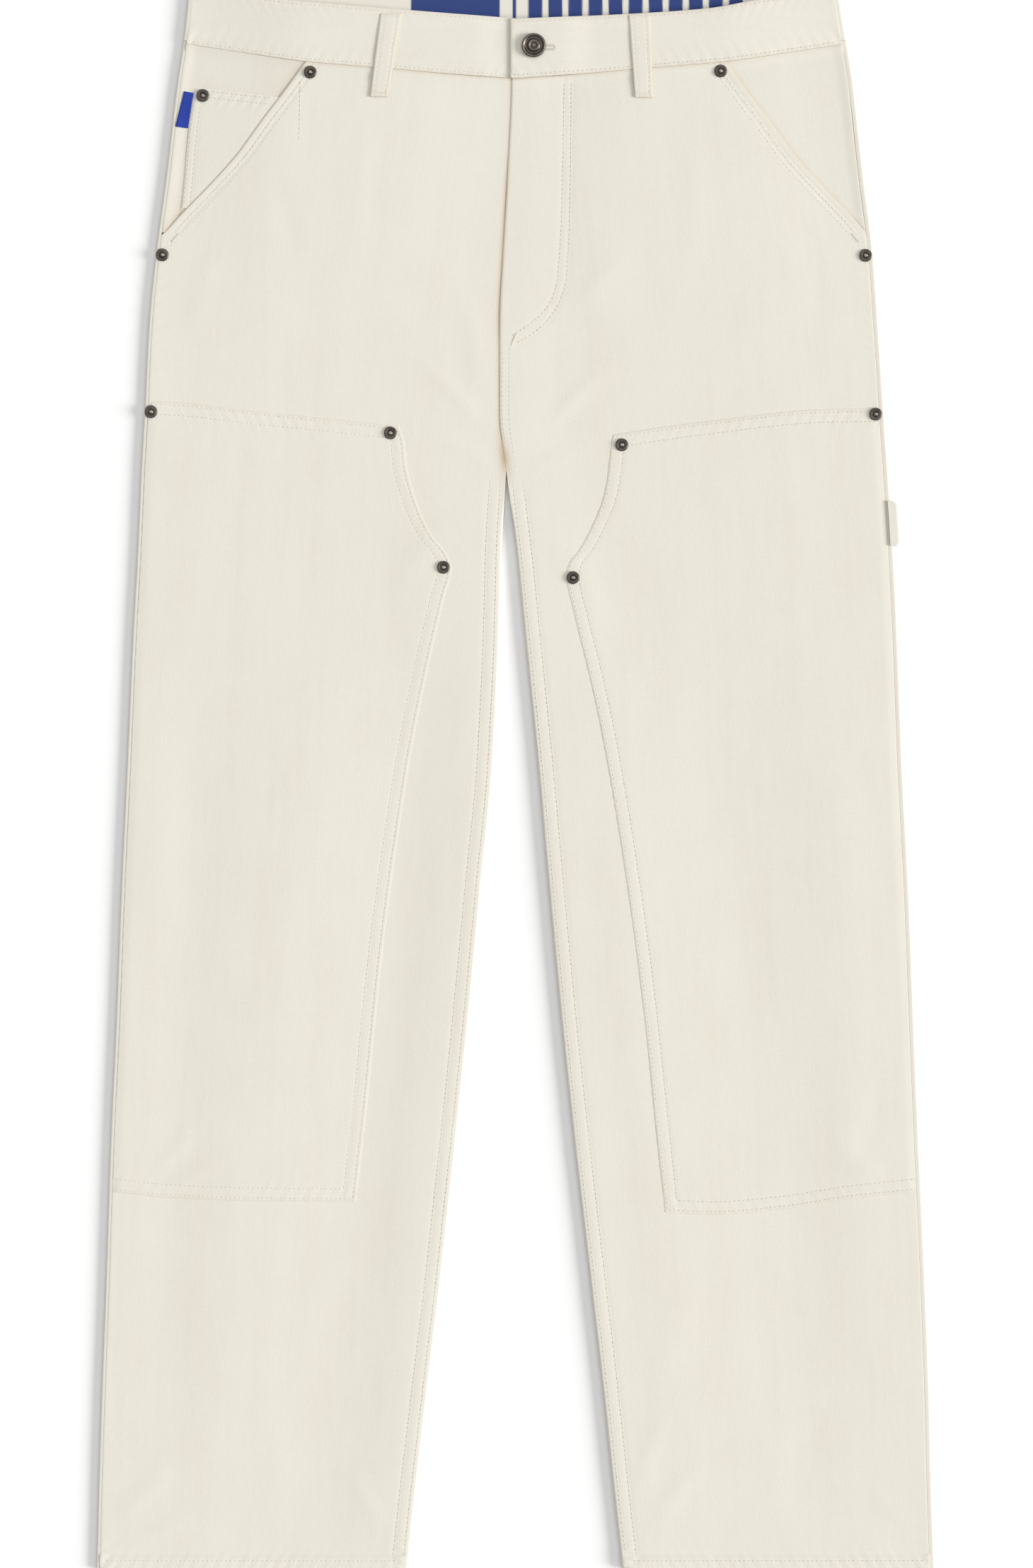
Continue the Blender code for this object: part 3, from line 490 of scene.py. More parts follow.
def clothWall(node, outer, inner, uv, finish, marks):
    # a wall of cloth: a grid is extruded into a flat box, and its two skins take their shapes
    rows, columns = outer.shape[:2]
    work = bmesh.new()
    bmesh.ops.create_grid(work, x_segments=columns - 1, y_segments=rows - 1, size=1)
    grown = bmesh.ops.extrude_face_region(work, geom=list(work.faces))
    grownVerts = [part for part in grown["geom"] if isinstance(part, bmesh.types.BMVert)]
    bmesh.ops.translate(work, vec=(0, 0, 1), verts=grownVerts)
    bmesh.ops.recalc_face_normals(work, faces=work.faces)
    piece = pieceFrom(node + "_cloth", work)
    mesh = piece.data
    flat = np.empty(len(mesh.vertices) * 3)
    mesh.vertices.foreach_get("co", flat)
    flat = flat.reshape(-1, 3)
    j = np.rint((flat[:, 0] + 1) / 2 * (columns - 1)).astype(int)
    i = np.rint((flat[:, 1] + 1) / 2 * (rows - 1)).astype(int)
    upper = flat[:, 2] > 0.5
    placed = np.where(upper[:, None], outer[i, j], inner[i, j]) * mm
    mesh.vertices.foreach_set("co", placed.ravel())
    layer = mesh.uv_layers.new(name="cloth")
    corner = np.empty(len(mesh.loops), dtype=np.int32)
    mesh.loops.foreach_get("vertex_index", corner)
    layer.data.foreach_set("uv", (uv[i, j] * mm)[corner].ravel())
    for mark, values in marks.items():  # how much painted shade and how much print each point of the cloth takes
        values = np.broadcast_to(np.clip(values, 0, 1), (rows, columns))
        mesh.attributes.new(mark, "FLOAT", "POINT").data.foreach_set("value", values[i, j])
    mesh.update()
    middle = rows // 2, columns // 2
    if outwardMismatch(mesh, outer[middle] * mm, inner[middle] * mm):
        mesh.flip_normals()
    return finishPiece(piece, finish, [node])


def outwardMismatch(mesh, outerPoint, innerPoint):
    # True when the faces at the middle of the wall point into it
    centres = np.empty(len(mesh.polygons) * 3)
    normals = np.empty(len(mesh.polygons) * 3)
    mesh.polygons.foreach_get("center", centres)
    mesh.polygons.foreach_get("normal", normals)
    nearest = np.argmin(np.sum((centres.reshape(-1, 3) - outerPoint) ** 2, axis=1))
    return np.dot(normals.reshape(-1, 3)[nearest], outerPoint - innerPoint) < 0


def clothPiece(node, outer, inner, uv, finish, marks=None):
    # the wall that stands for a node
    piece = clothWall(node, outer, inner, np.stack(uv, -1), finish, marks or {})


def spread(fromStart, fromEnd, count):
    # grid places over a width, as place = fixed + share * width: close steps at its two edges, even between
    start, end = np.array(fromStart, float), np.array(fromEnd, float)[::-1]
    inner = np.linspace(0, 1, count + 2)[1:-1]
    fixed = np.concatenate([start, start[-1] - (end[0] + start[-1]) * inner, -end])
    share = np.concatenate([0 * start, inner, 0 * end + 1])
    return fixed, share


def evenParts(stops, counts):  # parts of the way from the first stop to the last, in runs of even steps
    runs = [np.linspace(a, b, n, endpoint=False) for a, b, n in zip(stops, stops[1:], counts)]
    downs = np.concatenate(runs + [[stops[-1]]])
    return (downs - downs[0]) / (downs[-1] - downs[0])


# what sewing does along each edge, in millimetres: the rows of stitches, in from the edge; the groove that
# each presses (depth, width); the ripples beside it (in from the edge, reach, height, pitch); the fall of
# the folded edge (drop, width); and the painted shade beside it, a brown tint (share, reach)
sewn = {
    "hem": {"rows": (8.0,), "groove": (0.15, 1.0), "ripple": (5, 9, 0.14, 8.6), "fall": (0.7, 1.8),
            "edgeShade": (0.08, 1.2)},
    "slant": {"rows": (6.0, 10.0), "groove": (0.13, 1.2), "ripple": (8, 7, 0.13, 7.4), "fall": (0.26, 1.3),
              "edgeShade": (0.45, 1.0)},
    "inseam": {"rows": (3.4, 11.0), "groove": (0.15, 1.1), "ripple": (7, 9, 0.14, 8.0)},
    "side": {"ripple": (2, 7, 0.12, 9.5)},
    "waist": {"edgeShade": (0.26, 1.2)},
    "fly": {"rows": (0.0,), "groove": (0.15, 1.3), "ripple": (0, 5, 0.08, 7.5), "fall": (0.26, 1.2)},
    "crotch": {"rows": (2.2, 7.0)},
    "knee": {"rows": (2.2, 9.2), "groove": (0.11, 0.8), "ripple": (5, 9, 0.11, 8.4), "fall": (0.22, 1.7),
             "edgeShade": (0.16, 0.9)},
    "bandTop": {"rows": (2.2,), "groove": (0.16, 1.0), "ripple": (4, 8, 0.15, 8.0), "fall": (0.7, 1.6),
                "edgeShade": (0.12, 0.9)},
    "bandFoot": {"rows": (2.2,), "groove": (0.16, 1.0), "ripple": (3, 9, 0.22, 8.8), "fall": (0.22, 1.0),
                 "edgeShade": (0.22, 0.8)},
    "bandEnd": {"fall": (0.7, 1.6), "edgeShade": (0.30, 0.9)},
    "bandInside": {"rows": (2.4,), "groove": (0.14, 1.0), "fall": (0.5, 1.8)},
    "coinTop": {"rows": (1.8, 6.2), "groove": (0.10, 1.2), "ripple": (4, 7, 0.10, 7.5),
                "fall": (0.35, 1.5)},
    "coinSide": {"rows": (1.8, 6.2), "groove": (0.10, 1.2), "fall": (0.35, 1.4)},
    "tabSide": {"fall": (0.35, 1.2)}, "tabEnd": {"fall": (0.25, 0.9)},
    "loopSide": {"fall": (0.3, 1.4), "edgeShade": (0.30, 0.9)}, "loopEnd": {"fall": (0.25, 1.4)},
    "facing": {"edgeShade": (0.24, 1.8)}, "facingTop": {"edgeShade": (0.10, 2.0)},
}


def edgeFall(kind, distance):  # the edge rounds down over its fold
    drop, width = sewn[kind]["fall"]
    return -drop * (1 - ease(distance / width)) ** 2


def turnedEdge(distance):  # the narrow raised cord along a knee panel's turned and stitched edge
    return edgeFall("knee", distance) + 0.05 * np.exp(-((distance - 1.3) / 0.6) ** 2)


def seamRise(fromSeam):  # the cloth rises to meet the waistband that it is sewn into
    return 0.85 * (1 - ease(fromSeam / 8))


def fade(distance, reach):  # 1 on a line, easing to nothing
    return np.exp(-(np.maximum(distance, 0) / reach) ** 1.5)


# painted shade: a brown tint on the cloth beside a seam or folded edge, fading away from it
def edgeShade(kind, distance):
    share, reach = sewn[kind]["edgeShade"]
    return share * fade(distance, reach)


def grooves(kind, distance):
    depth, width = sewn[kind]["groove"]
    total = 0.0
    for row in sewn[kind]["rows"]:
        total = total - depth * np.exp(-((distance - row) / width) ** 2)
    return total


def puckers(kind, along, distance, seed):
    # the small slanting ripples that a row of stitches draws into the cloth
    inwards, reach, high, pitch = sewn[kind]["ripple"]
    away = distance - inwards
    phase = 2 * np.pi * (along + 0.55 * away) / pitch + 1.4 * wander(along / 31, seed)
    strength = 0.55 + 0.45 * wander(along / 17, seed + 3)
    return high * strength * np.sin(phase) * np.exp(-(away / reach) ** 2)


def pathDistance(out, down, path):  # distance from each grid point to a drawn line
    nearest = np.full(np.broadcast(out, down).shape, 1e9)
    for (ax, ay), (bx, by) in zip(path, path[1:]):
        run = np.array([bx - ax, by - ay], float)
        t = np.clip(((out - ax) * run[0] + (down - ay) * run[1]) / run.dot(run), 0, 1)
        nearest = np.minimum(nearest, np.hypot(out - ax - t * run[0], down - ay - t * run[1]))
    return nearest


# lines of stitches across the cloth, as (out, down) points
drawn = {
    "flyOuter": [(39.8, 68), (38.8, 156), (36.2, 210), (31.5, 226), (22.8, 239.5), (12, 249), (0.8, 255.5)],
    "flyInner": [(34.8, 68), (33.2, 156), (30.2, 208), (27, 222), (20, 233.5), (9, 243), (-2.8, 250.5)],
    "bag": [(151.8, 70), (152.8, 112)],
}


frontCut = {
    "fromStart": [0, .5, 1, 1.6, 2.4, 3.4, 4.4, 5.2, 6.1, 7, 8, 9, 10, 11, 12.5, 15, 17.5],
    "fromInner": [0, .5, 1, 1.6, 2.3, 3.1, 4.1, 5.2, 6.4, 7.8, 9.2, 10.4, 11.6, 13, 15, 17.5, 20, 23, 26,
                  28.5, 30.5, 32.2, 33.8, 35.4, 37, 38.6, 40.2, 41.8, 43.4, 45, 47, 49.5, 52],
    "middle": 68, "flat": (0.262, 1.066),
    "stops": (62, 179, 346.5, 400, 1103, 1112.5, 1121, 1124), "rows": (54, 66, 24, 232, 6, 7, 4),
    # the shade in the fly's gap: its share on each side, and the crotch's spot
    "flyShade": {"right": 0.85, "left": 0.30}, "crotchDown": 338, "crotchShade": 0.55,
}


def frontSpan(side, down):
    lap = 0.0
    if side is right:
        low, high = cut["flyFoot"]
        lap = cut["flyLap"] * (1 - ease((down - low) / (high - low)))
    end = frontWidth(side, down, side["strip"] + cut["seam"]) + lap
    return slantAcross(side, down), end - np.where(down < cut["crotch"], cut["seam"] / 2, 0.0)


def frontLift(side, across, down, start, end, fromTop, fromHem):
    # what is sewn into the front: folded edges, its grooves and the ripples along them
    out = outAt(side, across, down)
    fromStart, fromInner = across - start, end - across
    above = ease((cut["pocketFoot"] - down) / 5)
    below = ease((down - cut["crotch"] - 4) / 16)
    lift = seamRise(fromTop) + cut["hemRise"] * ease((cut["hemDepth"] + 1.5 - fromHem) / 1.5)
    lift = lift + edgeFall("hem", fromHem) + grooves("hem", fromHem)
    lift = lift + puckers("hem", out, fromHem, 2.0 + side["sign"])
    lift = lift + above * (edgeFall("slant", fromStart) + grooves("slant", fromStart))
    lift = lift + above * puckers("slant", down, fromStart, 5.0)
    lift = lift + below * (grooves("inseam", fromInner)
                           + puckers("inseam", down, fromInner, 7.0 + side["sign"]))
    lift = lift + (1 - above) * puckers("side", down, fromStart, 9.0)
    lift = lift + 0.14 * wander(out / 9 + down / 37, 1.5) * wander(down / 13 - out / 41, 6.0)
    if side is left:
        lift = lift + (1 - ease((down - 330) / 14)) * edgeFall("fly", fromInner)
        for name in ("flyOuter", "flyInner"):
            away = pathDistance(out, down, drawn[name])
            lift = lift + grooves("fly", away) + puckers("fly", down, away, 3.0)
    return lift


def frontPanel(side):
    c = frontCut
    fixed, share = spread(c["fromStart"], c["fromInner"], c["middle"])

    def acrossOf(down):
        start, end = frontSpan(side, down)
        return start + fixed + share * (end - start)

    def outOf(down):
        return outAt(side, acrossOf(down), down)

    tops = np.full(fixed.shape, float(c["stops"][0]))
    feet = np.full(fixed.shape, cut["length"])
    for _ in range(5):
        tops = waistSeam(np.abs(outOf(tops))) + cut["seam"]
        feet = hemDown(side, outOf(feet))
    down = mix(tops, feet, evenParts(c["stops"], c["rows"])[:, None])
    across = acrossOf(down)
    start, end = frontSpan(side, down)
    lift = frontLift(side, across, down, start, end, down - tops, feet - down)
    outer = raised(frontPoint, side, across, down, lift)
    atEdge = (1 - ease((across - start - 9) / 6)) * (down < cut["pocketFoot"] + 4)
    if side is left:
        atEdge = np.maximum(atEdge, (1 - ease((end - across - 12) / 8)) * (down < cut["crotch"]))
    inner = raised(frontPoint, side, across, down, mix(-cut["cloth"], -cut["thin"], atEdge))
    out = outAt(side, across, down)
    toFly = np.abs(-side["sign"] * flyOut(down) - out)
    flyShadeShare = c["flyShade"][side["name"]]
    flyShadeShare = flyShadeShare * mix(0.45, 1.0, ease((down - 115) / 35)) * mix(1.0, 0.55, ease((down - 240) / 20))
    # painted shade: in the fly's gap, at the crotch point, and beside the slant, the waist seam and the hem
    paintedShade = flyShadeShare * fade(toFly, 1.5) * (1 - ease((down - 335) / 14))
    toCrotch = np.hypot((toFly - 1.5) * 1.6, (down - c["crotchDown"]) / 3.2)
    paintedShade = paintedShade + c["crotchShade"] * fade(toCrotch, 4.0)
    paintedShade = paintedShade + edgeShade("slant", across - start) * ease((cut["pocketFoot"] - down) / 5)
    paintedShade = paintedShade + edgeShade("waist", down - tops) + edgeShade("hem", feet - down)
    clothPiece("front_" + side["name"], outer, inner, (across, down), denim,
               {"paintedShade": paintedShade})


def slopeOut(edge, radius, strip, inset, count=13):
    # (out, height) round a turned-up and pressed side edge, its strip's end first
    angles = np.linspace(math.pi, 0, count)
    reach = np.abs(np.sin(angles)) ** cut["corner"]
    rise = np.sign(np.cos(angles)) * np.abs(np.cos(angles)) ** cut["corner"]
    out = np.concatenate([[edge - strip, edge - (strip + radius) / 2],
                          edge - radius + (radius - inset) * reach])
    height = np.concatenate([[2 * radius - inset] * 2, radius - (radius - inset) * rise])
    return out, height


backCut = {
    "middle": 40, "innerSteps": 9, "rows": 150, "flat": (0.29, 1.085),
    "strip": 5.5, "stripShade": 0.12,  # painted shade: the turned strip beyond the left side seam is a little darker
}


def backPanel(side):
    b, steps = backCut, np.linspace(0, 1, backCut["innerSteps"])
    parts = np.linspace(0, 1, b["rows"])
    skins = []
    for inset in (0.0, cut["cloth"]):
        rows = []
        for down in mix(cut["backTop"] + cut["seam"], cut["length"], parts):
            out, height = slopeOut(float(side["outer"](down)), cut["edgeRound"], side["strip"], inset)
            edge = float(innerEdge(side, down)) + (cut["seam"] / 2 if down < cut["crotch"] else 0.0)
            turn = float(innerTurn(down))
            drop = (float(insideHeight(down)) - cut["seam"]) / 2
            flat = np.linspace(out[-1], edge + cut["innerRoll"], b["middle"])[1:-1]
            angle = turn * steps
            reach = np.sin(angle) / math.sin(turn) if turn > hardlyTurned else steps
            steep = max(math.sin(turn), 0.2)
            slope = np.stack([drop * np.sin(angle), cut["innerRoll"] * np.cos(angle) / steep])
            if turn <= hardlyTurned:
                slope = np.stack([0 * steps, 0 * steps + 1])
            slope = slope / np.linalg.norm(slope, axis=0)
            endOut = edge + cut["innerRoll"] * (1 - reach) + slope[0] * inset
            endHeight = drop * (1 - np.cos(angle)) + slope[1] * inset
            out = np.concatenate([out, flat, endOut])
            height = np.concatenate([height, 0 * flat + inset, endHeight])
            foot = hemDown(side, out) if down == cut["length"] else down
            rows.append(place(side, out, foot, height))
        skins.append(np.array(rows))
    outer, inner = skins
    run = np.cumsum(np.linalg.norm(np.diff(outer, axis=1, prepend=outer[:, :1]), axis=-1), axis=1)
    down = cut["length"] / 2 - outer[..., 1]
    paintedShade = 0.0
    # painted shade on the left side's turned strip
    if side is left:
        onStrip = (outer[..., 2] > 3.0) * (run < b["strip"])
        paintedShade = b["stripShade"] * onStrip * (1 - 0.6 * ease((down - 500) / 300))
    clothPiece("back_" + side["name"], outer, inner, (run, down), denim, {"paintedShade": paintedShade})


facingCut = {"columns": 46, "rows": 84, "clear": 0.15, "under": 8.0, "top": 60.0, "foot": 177.0,
             "flat": (0.13, 0.134)}


def facing(side):
    f = facingCut
    share = np.linspace(0, 1, f["columns"]) ** 1.25
    parts = np.linspace(0, 1, f["rows"])[:, None]
    down = np.full((f["rows"], f["columns"]), f["top"])
    for _ in range(5):
        slant = slantAcross(side, down)
        end = slant + mix(-f["clear"], f["under"], ease((slant - cut["facingEase"]) / 6))
        end = np.maximum(end, 0.6 * slant + 0.1)
        across = end * share
        out = outAt(side, across, down)
        down = mix(waistSeam(np.abs(out)) + cut["seam"], f["foot"], parts)
    lift = 0.16 * wander(down / 11 + across / 31, 8.0) * ease((end - across - 2) / 8)
    lift = lift + seamRise(down - waistSeam(np.abs(out)) - cut["seam"])
    outer = raised(facingPoint, side, across, down, lift)
    inner = raised(facingPoint, side, across, down, -cut["facingCloth"])
    paintedShade = edgeShade("facing", slant - across) + edgeShade("facingTop", down - waistSeam(np.abs(out)))
    if side is right:  # painted shade: a brown tint along the slant, beside the coin pocket's edge and over soft creases on the facing above it
        paintedShade = paintedShade + 0.16 * fade(slant - across, 2.6) + 0.07 * fade(slant - across, 18.0)
        paintedShade = paintedShade + 0.42 * fade(np.abs(coinSide(down) + 0.4 - out), 0.8) * ease((down - 76) / 6)
        creaseShade = np.exp(-((down - 70 - (236 - out) * 0.2) / 5) ** 2 - ((out - 212) / 20) ** 2)
        paintedShade = paintedShade + 0.12 * creaseShade * (0.6 + 0.4 * wander(out / 4, 3.0))
    clothPiece("facing_" + side["name"], outer, inner, (across, down), denimInsideShaded,
               {"paintedShade": paintedShade})


# the knee panels' edges, as (out, down) points, and how close their grids stand at the edges
kneeCut = {
    "right": {"top": [(82.5, 314), (183, 303.5), (256, 296.5), (266, 297)],
              "foot": [(112.8, 862.5), (195, 861.5), (245, 859.5), (288, 855)],
              "inner": [(82.5, 314), (78.5, 325), (76.8, 342), (72.8, 358), (67.3, 374), (59, 391),
                        (47.5, 406), (44.8, 414), (50.4, 436), (62.5, 488.5), (73.4, 543), (82.8, 603),
                        (91.1, 663), (97.9, 723), (103.8, 783), (109.2, 832), (112.8, 862.5)],
              "flat": (0.235, 0.566)},
    "left": {"top": [(68.8, 320), (136, 310.5), (222, 302), (266, 301.5)],
             "foot": [(105.8, 870), (140, 871.5), (190, 867.5), (235, 860.5), (288, 855)],
             "inner": [(68.8, 320), (67.3, 331), (64.8, 352), (61.3, 367.5), (54.3, 384.5), (44.8, 402),
                       (37.8, 411), (35.8, 419), (41.8, 448), (51.7, 488), (60.5, 528), (67.8, 568),
                       (77.4, 628), (85.8, 688), (92.9, 748), (99, 808), (105.8, 870)],
             "flat": (0.24, 0.566)},
    "fromStart": [0.6, 1.4, 2.4, 3.4, 4.6, 6.1, 8, 11, 14, 18],
    "fromInner": [0, .4, .9, 1.6, 2.4, 3.4, 5, 6.8, 8.2, 9.2, 10.2, 11.6, 14, 17],
    "fromTop": [0, .4, .9, 1.6, 2.4, 3.6, 5.4, 7.4, 8.6, 9.2, 10.2, 11.8, 14, 17],
    "middle": 66, "rows": 178, "thinSide": 0.2,
}


def kneePanel(side):
    k, mine = kneeCut, kneeCut[side["name"]]
    innerOut = curveOf(mine["inner"], byDown=True)
    topDown, footDown = curveOf(mine["top"]), curveOf(mine["foot"])
    fixed, share = spread(k["fromStart"], k["fromInner"], k["middle"])
    rowFixed, rowShare = spread(k["fromTop"], k["fromTop"], k["rows"])
    first, last = mine["inner"][0][1], mine["inner"][-1][1]
    down = np.repeat((first + rowFixed + rowShare * (last - first))[:, None], len(fixed), axis=1)
    for _ in range(5):
        end = acrossAt(side, innerOut(down), down)
        across = fixed + share * end
        out = outAt(side, across, down)
        top, foot = topDown(out), footDown(out)
        down = top + rowFixed[:, None] + rowShare[:, None] * (foot - top)
    edges = [(end - across, down, 1.0), (down - top, out, 2.0), (foot - down, out, 3.0)]
    lift = cut["patch"] + 0.12 * wander(out / 10 + down / 29, 2.5) * wander(down / 14, 4.0)
    # thinner towards the side seam that it is sewn into
    lift = lift * (k["thinSide"] + (1 - k["thinSide"]) * ease(across / 6))
    for distance, along, seed in edges:
        lift = lift + turnedEdge(distance) + grooves("knee", distance)
        lift = lift + puckers("knee", along, distance, seed + side["sign"])
    outer = raised(frontPoint, side, across, down, lift)
    inner = raised(frontPoint, side, across, down, 0.0)
    nearest = np.minimum(np.minimum(end - across, down - top), foot - down)
    # painted shade along the panel's turned edges
    clothPiece("knee_" + side["name"], outer, inner, (across, down), denimDouble,
               {"paintedShade": edgeShade("knee", nearest)})


bandCut = {
    "fromStart": [0, .6, 1.3, 2.2, 3.2, 4.4, 6.1, 9, 13], "fromEnd": [0, .5, 1.1, 1.9, 2.9, 4, 6, 9],
    "middle": 84, "fromTop": [0, .5, 1.1, 1.8, 2.5, 3.4, 5], "rows": 14, "flat": (0.27, 0.05),
    # the back run, seen from inside above the front ones
    "backFromTop": [0, .5, 1.1, 1.8, 2.6, 3.6], "backFromFoot": [0, 1, 2], "backRows": 44,
    "backColumns": 280, "backFlat": (0.49, 0.044),
}


def bandEnd(side):
    return -cut["bandEnd"] if side is left else -cut["bandLap"] + cut["bandEnd"]


def bandFront(side):
    b = bandCut
    fixed, share = spread(b["fromStart"], b["fromEnd"], b["middle"])
    rowFixed, rowShare = spread(b["fromTop"], b["fromTop"], b["rows"])
    strip = side["strip"] + cut["seam"]
    down = np.full((len(rowFixed), len(fixed)), 30.0)
    for _ in range(6):
        width = frontWidth(side, down, strip) + innerEdge(side, down) - bandEnd(side)
        across = fixed + share * width
        out = outAt(side, across, down, bandPoint)
        top, foot = bandTop[side["name"]](np.maximum(out, 0)), waistSeam(np.abs(out))
        down = top + rowFixed[:, None] + rowShare[:, None] * (foot - top)
    fromTop, fromFoot, fromEnd = down - top, foot - down, width - across
    lift = edgeFall("bandTop", fromTop) + edgeFall("bandFoot", fromFoot) + edgeFall("bandEnd", fromEnd)
    lift = lift + grooves("bandTop", fromTop) + grooves("bandFoot", fromFoot)
    lift = lift + puckers("bandTop", out, fromTop, 1.0) + puckers("bandFoot", out, fromFoot, 4.0)
    lift = lift + 0.12 * wander(out / 12, 3.0) * wander(down / 9 + out / 33, 5.0)
    outer = raised(bandPoint, side, across, down, lift)
    inner = raised(bandPoint, side, across, down, -cut["bandCloth"])
    # painted shade along the band's folded edges and its end
    paintedShade = edgeShade("bandFoot", fromFoot) + edgeShade("bandTop", fromTop) + edgeShade("bandEnd", fromEnd)
    clothPiece("waistband_front_" + side["name"], outer, inner, (down, across), denimDouble,
               {"paintedShade": paintedShade})


# plain printed bars inside the back of the waistband, as (from, to) along it from the centre
printCut = {"bars": [(-74.0, -11.0), (-2.0, 0.6)] + [(9.0 + 14.2 * n, 19.0 + 14.2 * n) for n in range(11)],
            "top": 6.0, "foot": 33.0, "soft": 0.9, "strength": 0.97}


def bandBack():
    # seen from inside: the inner face of the back of the waistband shows above the front one
    skins, b = [], bandCut
    fixed, share = spread(b["backFromTop"], b["backFromFoot"], b["backRows"])
    downs = fixed + share * cut["backTop"]
    for inset in (0.0, cut["bandCloth"]):
        rows = []
        for down in downs:
            halves = []
            for side in (right, left):
                out, height = slopeOut(float(side["outer"](down)), cut["bandRound"], side["strip"], inset)
                flat = np.linspace(out[-1], 0, b["backColumns"])[1:]
                out, height = np.concatenate([out, flat]), np.concatenate([height, 0 * flat + inset])
                top = cut["bandDip"] * ease(out / 230)
                fromTop = down * (cut["backTop"] - top) / cut["backTop"]
                if inset:
                    fall = edgeFall("bandInside", fromTop) + grooves("bandInside", fromTop)
                    height = height + np.where(height > inset + 0.3, 0, fall + 0.2 * wander(out / 14, 2.0))
                halves.append(place(side, out, top + fromTop, height))
            rows.append(np.concatenate([halves[0], halves[1][::-1][1:]]))
        skins.append(np.array(rows))
    outer, inner = skins
    p = printCut
    x, down = inner[..., 0], cut["length"] / 2 - inner[..., 1]
    tall = ease((down - p["top"]) / p["soft"]) * ease((p["foot"] - down) / p["soft"])
    ink = np.zeros(x.shape)
    for first, last in p["bars"]:
        across = ease((x - first) / p["soft"] + 0.5) * ease((last - x) / p["soft"] + 0.5)
        ink = np.maximum(ink, across * tall)
    clothPiece("waistband_back", outer, inner, (cut["length"] / 2 - outer[..., 1], outer[..., 0]),
               denimDouble, {"print": ink * p["strength"]})


coinCut = {"side": [(226.3, 74.5), (231.3, 107), (234.3, 140.5), (236.5, 162.5)],
           "top": (81.5, 74.5), "topOut": (165, 226.3), "foot": 160.0, "clear": 0.3,
           "rows": 60, "columns": 44, "flat": (0.075, 0.09)}
coinSide = curveOf(coinCut["side"], byDown=True)


def coinPocket():
    c = coinCut
    parts = np.linspace(0, 1, c["rows"])[:, None] ** 1.1
    share = np.linspace(0, 1, c["columns"])[None, :] ** 1.1
    start = mix(c["top"][1], c["top"][0], share)
    down = mix(start, c["foot"], parts)
    side = acrossAt(right, coinSide(down), down)
    end = slantAcross(right, down) - c["clear"]
    across = mix(side, end, share)
    fromTop, fromSide = down - start, across - side
    lift = cut["coin"] + edgeFall("coinTop", fromTop) + edgeFall("coinSide", fromSide)
    lift = lift + grooves("coinTop", fromTop) + grooves("coinSide", fromSide)
    lift = lift + puckers("coinTop", across, fromTop, 2.0) * ease((end - across) / 4)
    outer = raised(facingPoint, right, across, down, lift)
    inner = raised(facingPoint, right, across, down, cut["seam"])
    clothPiece("coin_pocket", outer, inner, (across, down), denim)


tabCut = {"length": 25.0, "width": 7.0, "footWidth": 9.0, "top": 78.5, "slope": 2.4, "fromPocket": 0.6,
          "flat": (0.010, 0.0265)}


def sideTab():
    t = tabCut
    parts, share = np.linspace(0, 1, 30)[:, None], np.linspace(0, 1, 14)[None, :]
    down = t["top"] + t["length"] * parts - t["slope"] * 0.5 * share
    start = coinSide(down) + t["fromPocket"]
    wide = mix(t["width"], t["footWidth"], parts)
    across = acrossAt(right, start + wide * share, down)
    fall = edgeFall("tabSide", (1 - share) * wide)
    fall = fall + edgeFall("tabEnd", np.minimum(parts, 1 - parts) * t["length"])
    lift = cut["seam"] + cut["tab"] + fall + 0.15 * np.sin(parts * 5 + share * 2)
    outer = raised(facingPoint, right, across, down, lift)
    inner = raised(facingPoint, right, across, down, cut["seam"])
    clothPiece("side_tab", outer, inner, (share * wide, down), blueTab)


# the belt loops: top and foot as (out, down), and how they rise over the waistband, as (along, lift)
loopCut = {
    "width": 15.0, "foot": 13.0, "cloth": 0.65, "flat": (0.016, 0.062), "rows": 64, "columns": 22,
    "right": ((87.8, 23), (96.3, 81.5)), "left": ((87.5, 24), (90.8, 82)),
    "shape": [(0.0, 0.1), (0.1, 0.1), (0.25, 0.35), (0.42, 0.5), (0.58, 0.4), (0.73, 0.1), (0.84, -0.4),
              (1.0, -0.4)],
    "stitchWay": 0.62, "tackAlong": (0.035, 0.955),
}


def loopPlace(side, along, way, above):
    p = loopCut
    (topOut, topDown), (footOut, footDown) = p[side["name"]]
    lift = np.interp(along, *zip(*p["shape"]))
    out, down = mix(topOut, footOut, along), mix(topDown, footDown, along)
    half = mix(p["width"], p["foot"], along) / 2
    return place(side, out + half * way, down, bandHeight(side, out, down) + lift + above)


def beltLoop(side):
    p = loopCut
    along, way = np.linspace(0, 1, p["rows"])[:, None], np.linspace(-1, 1, p["columns"])[None, :]
    wide = p["width"] / 2
    long = abs(p[side["name"]][1][1] - p[side["name"]][0][1])
    ends = np.minimum(along, 1 - along) * long
    fall = edgeFall("loopSide", (1 - np.abs(way)) * wide) + edgeFall("loopEnd", ends)
    crease = -0.12 * np.exp(-((np.abs(way) * wide - 4.6) / 0.9) ** 2) + 0.08 * wander(along * 22 + way, 3.0)
    outer = loopPlace(side, along, way, p["cloth"] + fall + crease)
    inner = loopPlace(side, along, way, 0.0)
    nearest = np.minimum((1 - np.abs(way)) * wide, ends)
    places = way * wide + 0 * along, along * long + 0 * way
    # painted shade along the loop's sides
    clothPiece("belt_loop_" + side["name"], outer, inner, places, denimDouble,
               {"paintedShade": edgeShade("loopSide", nearest)})


hammerCut = {"top": 367.0, "foot": 398.5, "reach": 6.2, "cloth": 1.2, "height": 5.4, "corner": 2.0,
             "seat": 1.9, "under": 0.6, "rows": 30, "steps": 19, "flat": (0.032, 0.034)}


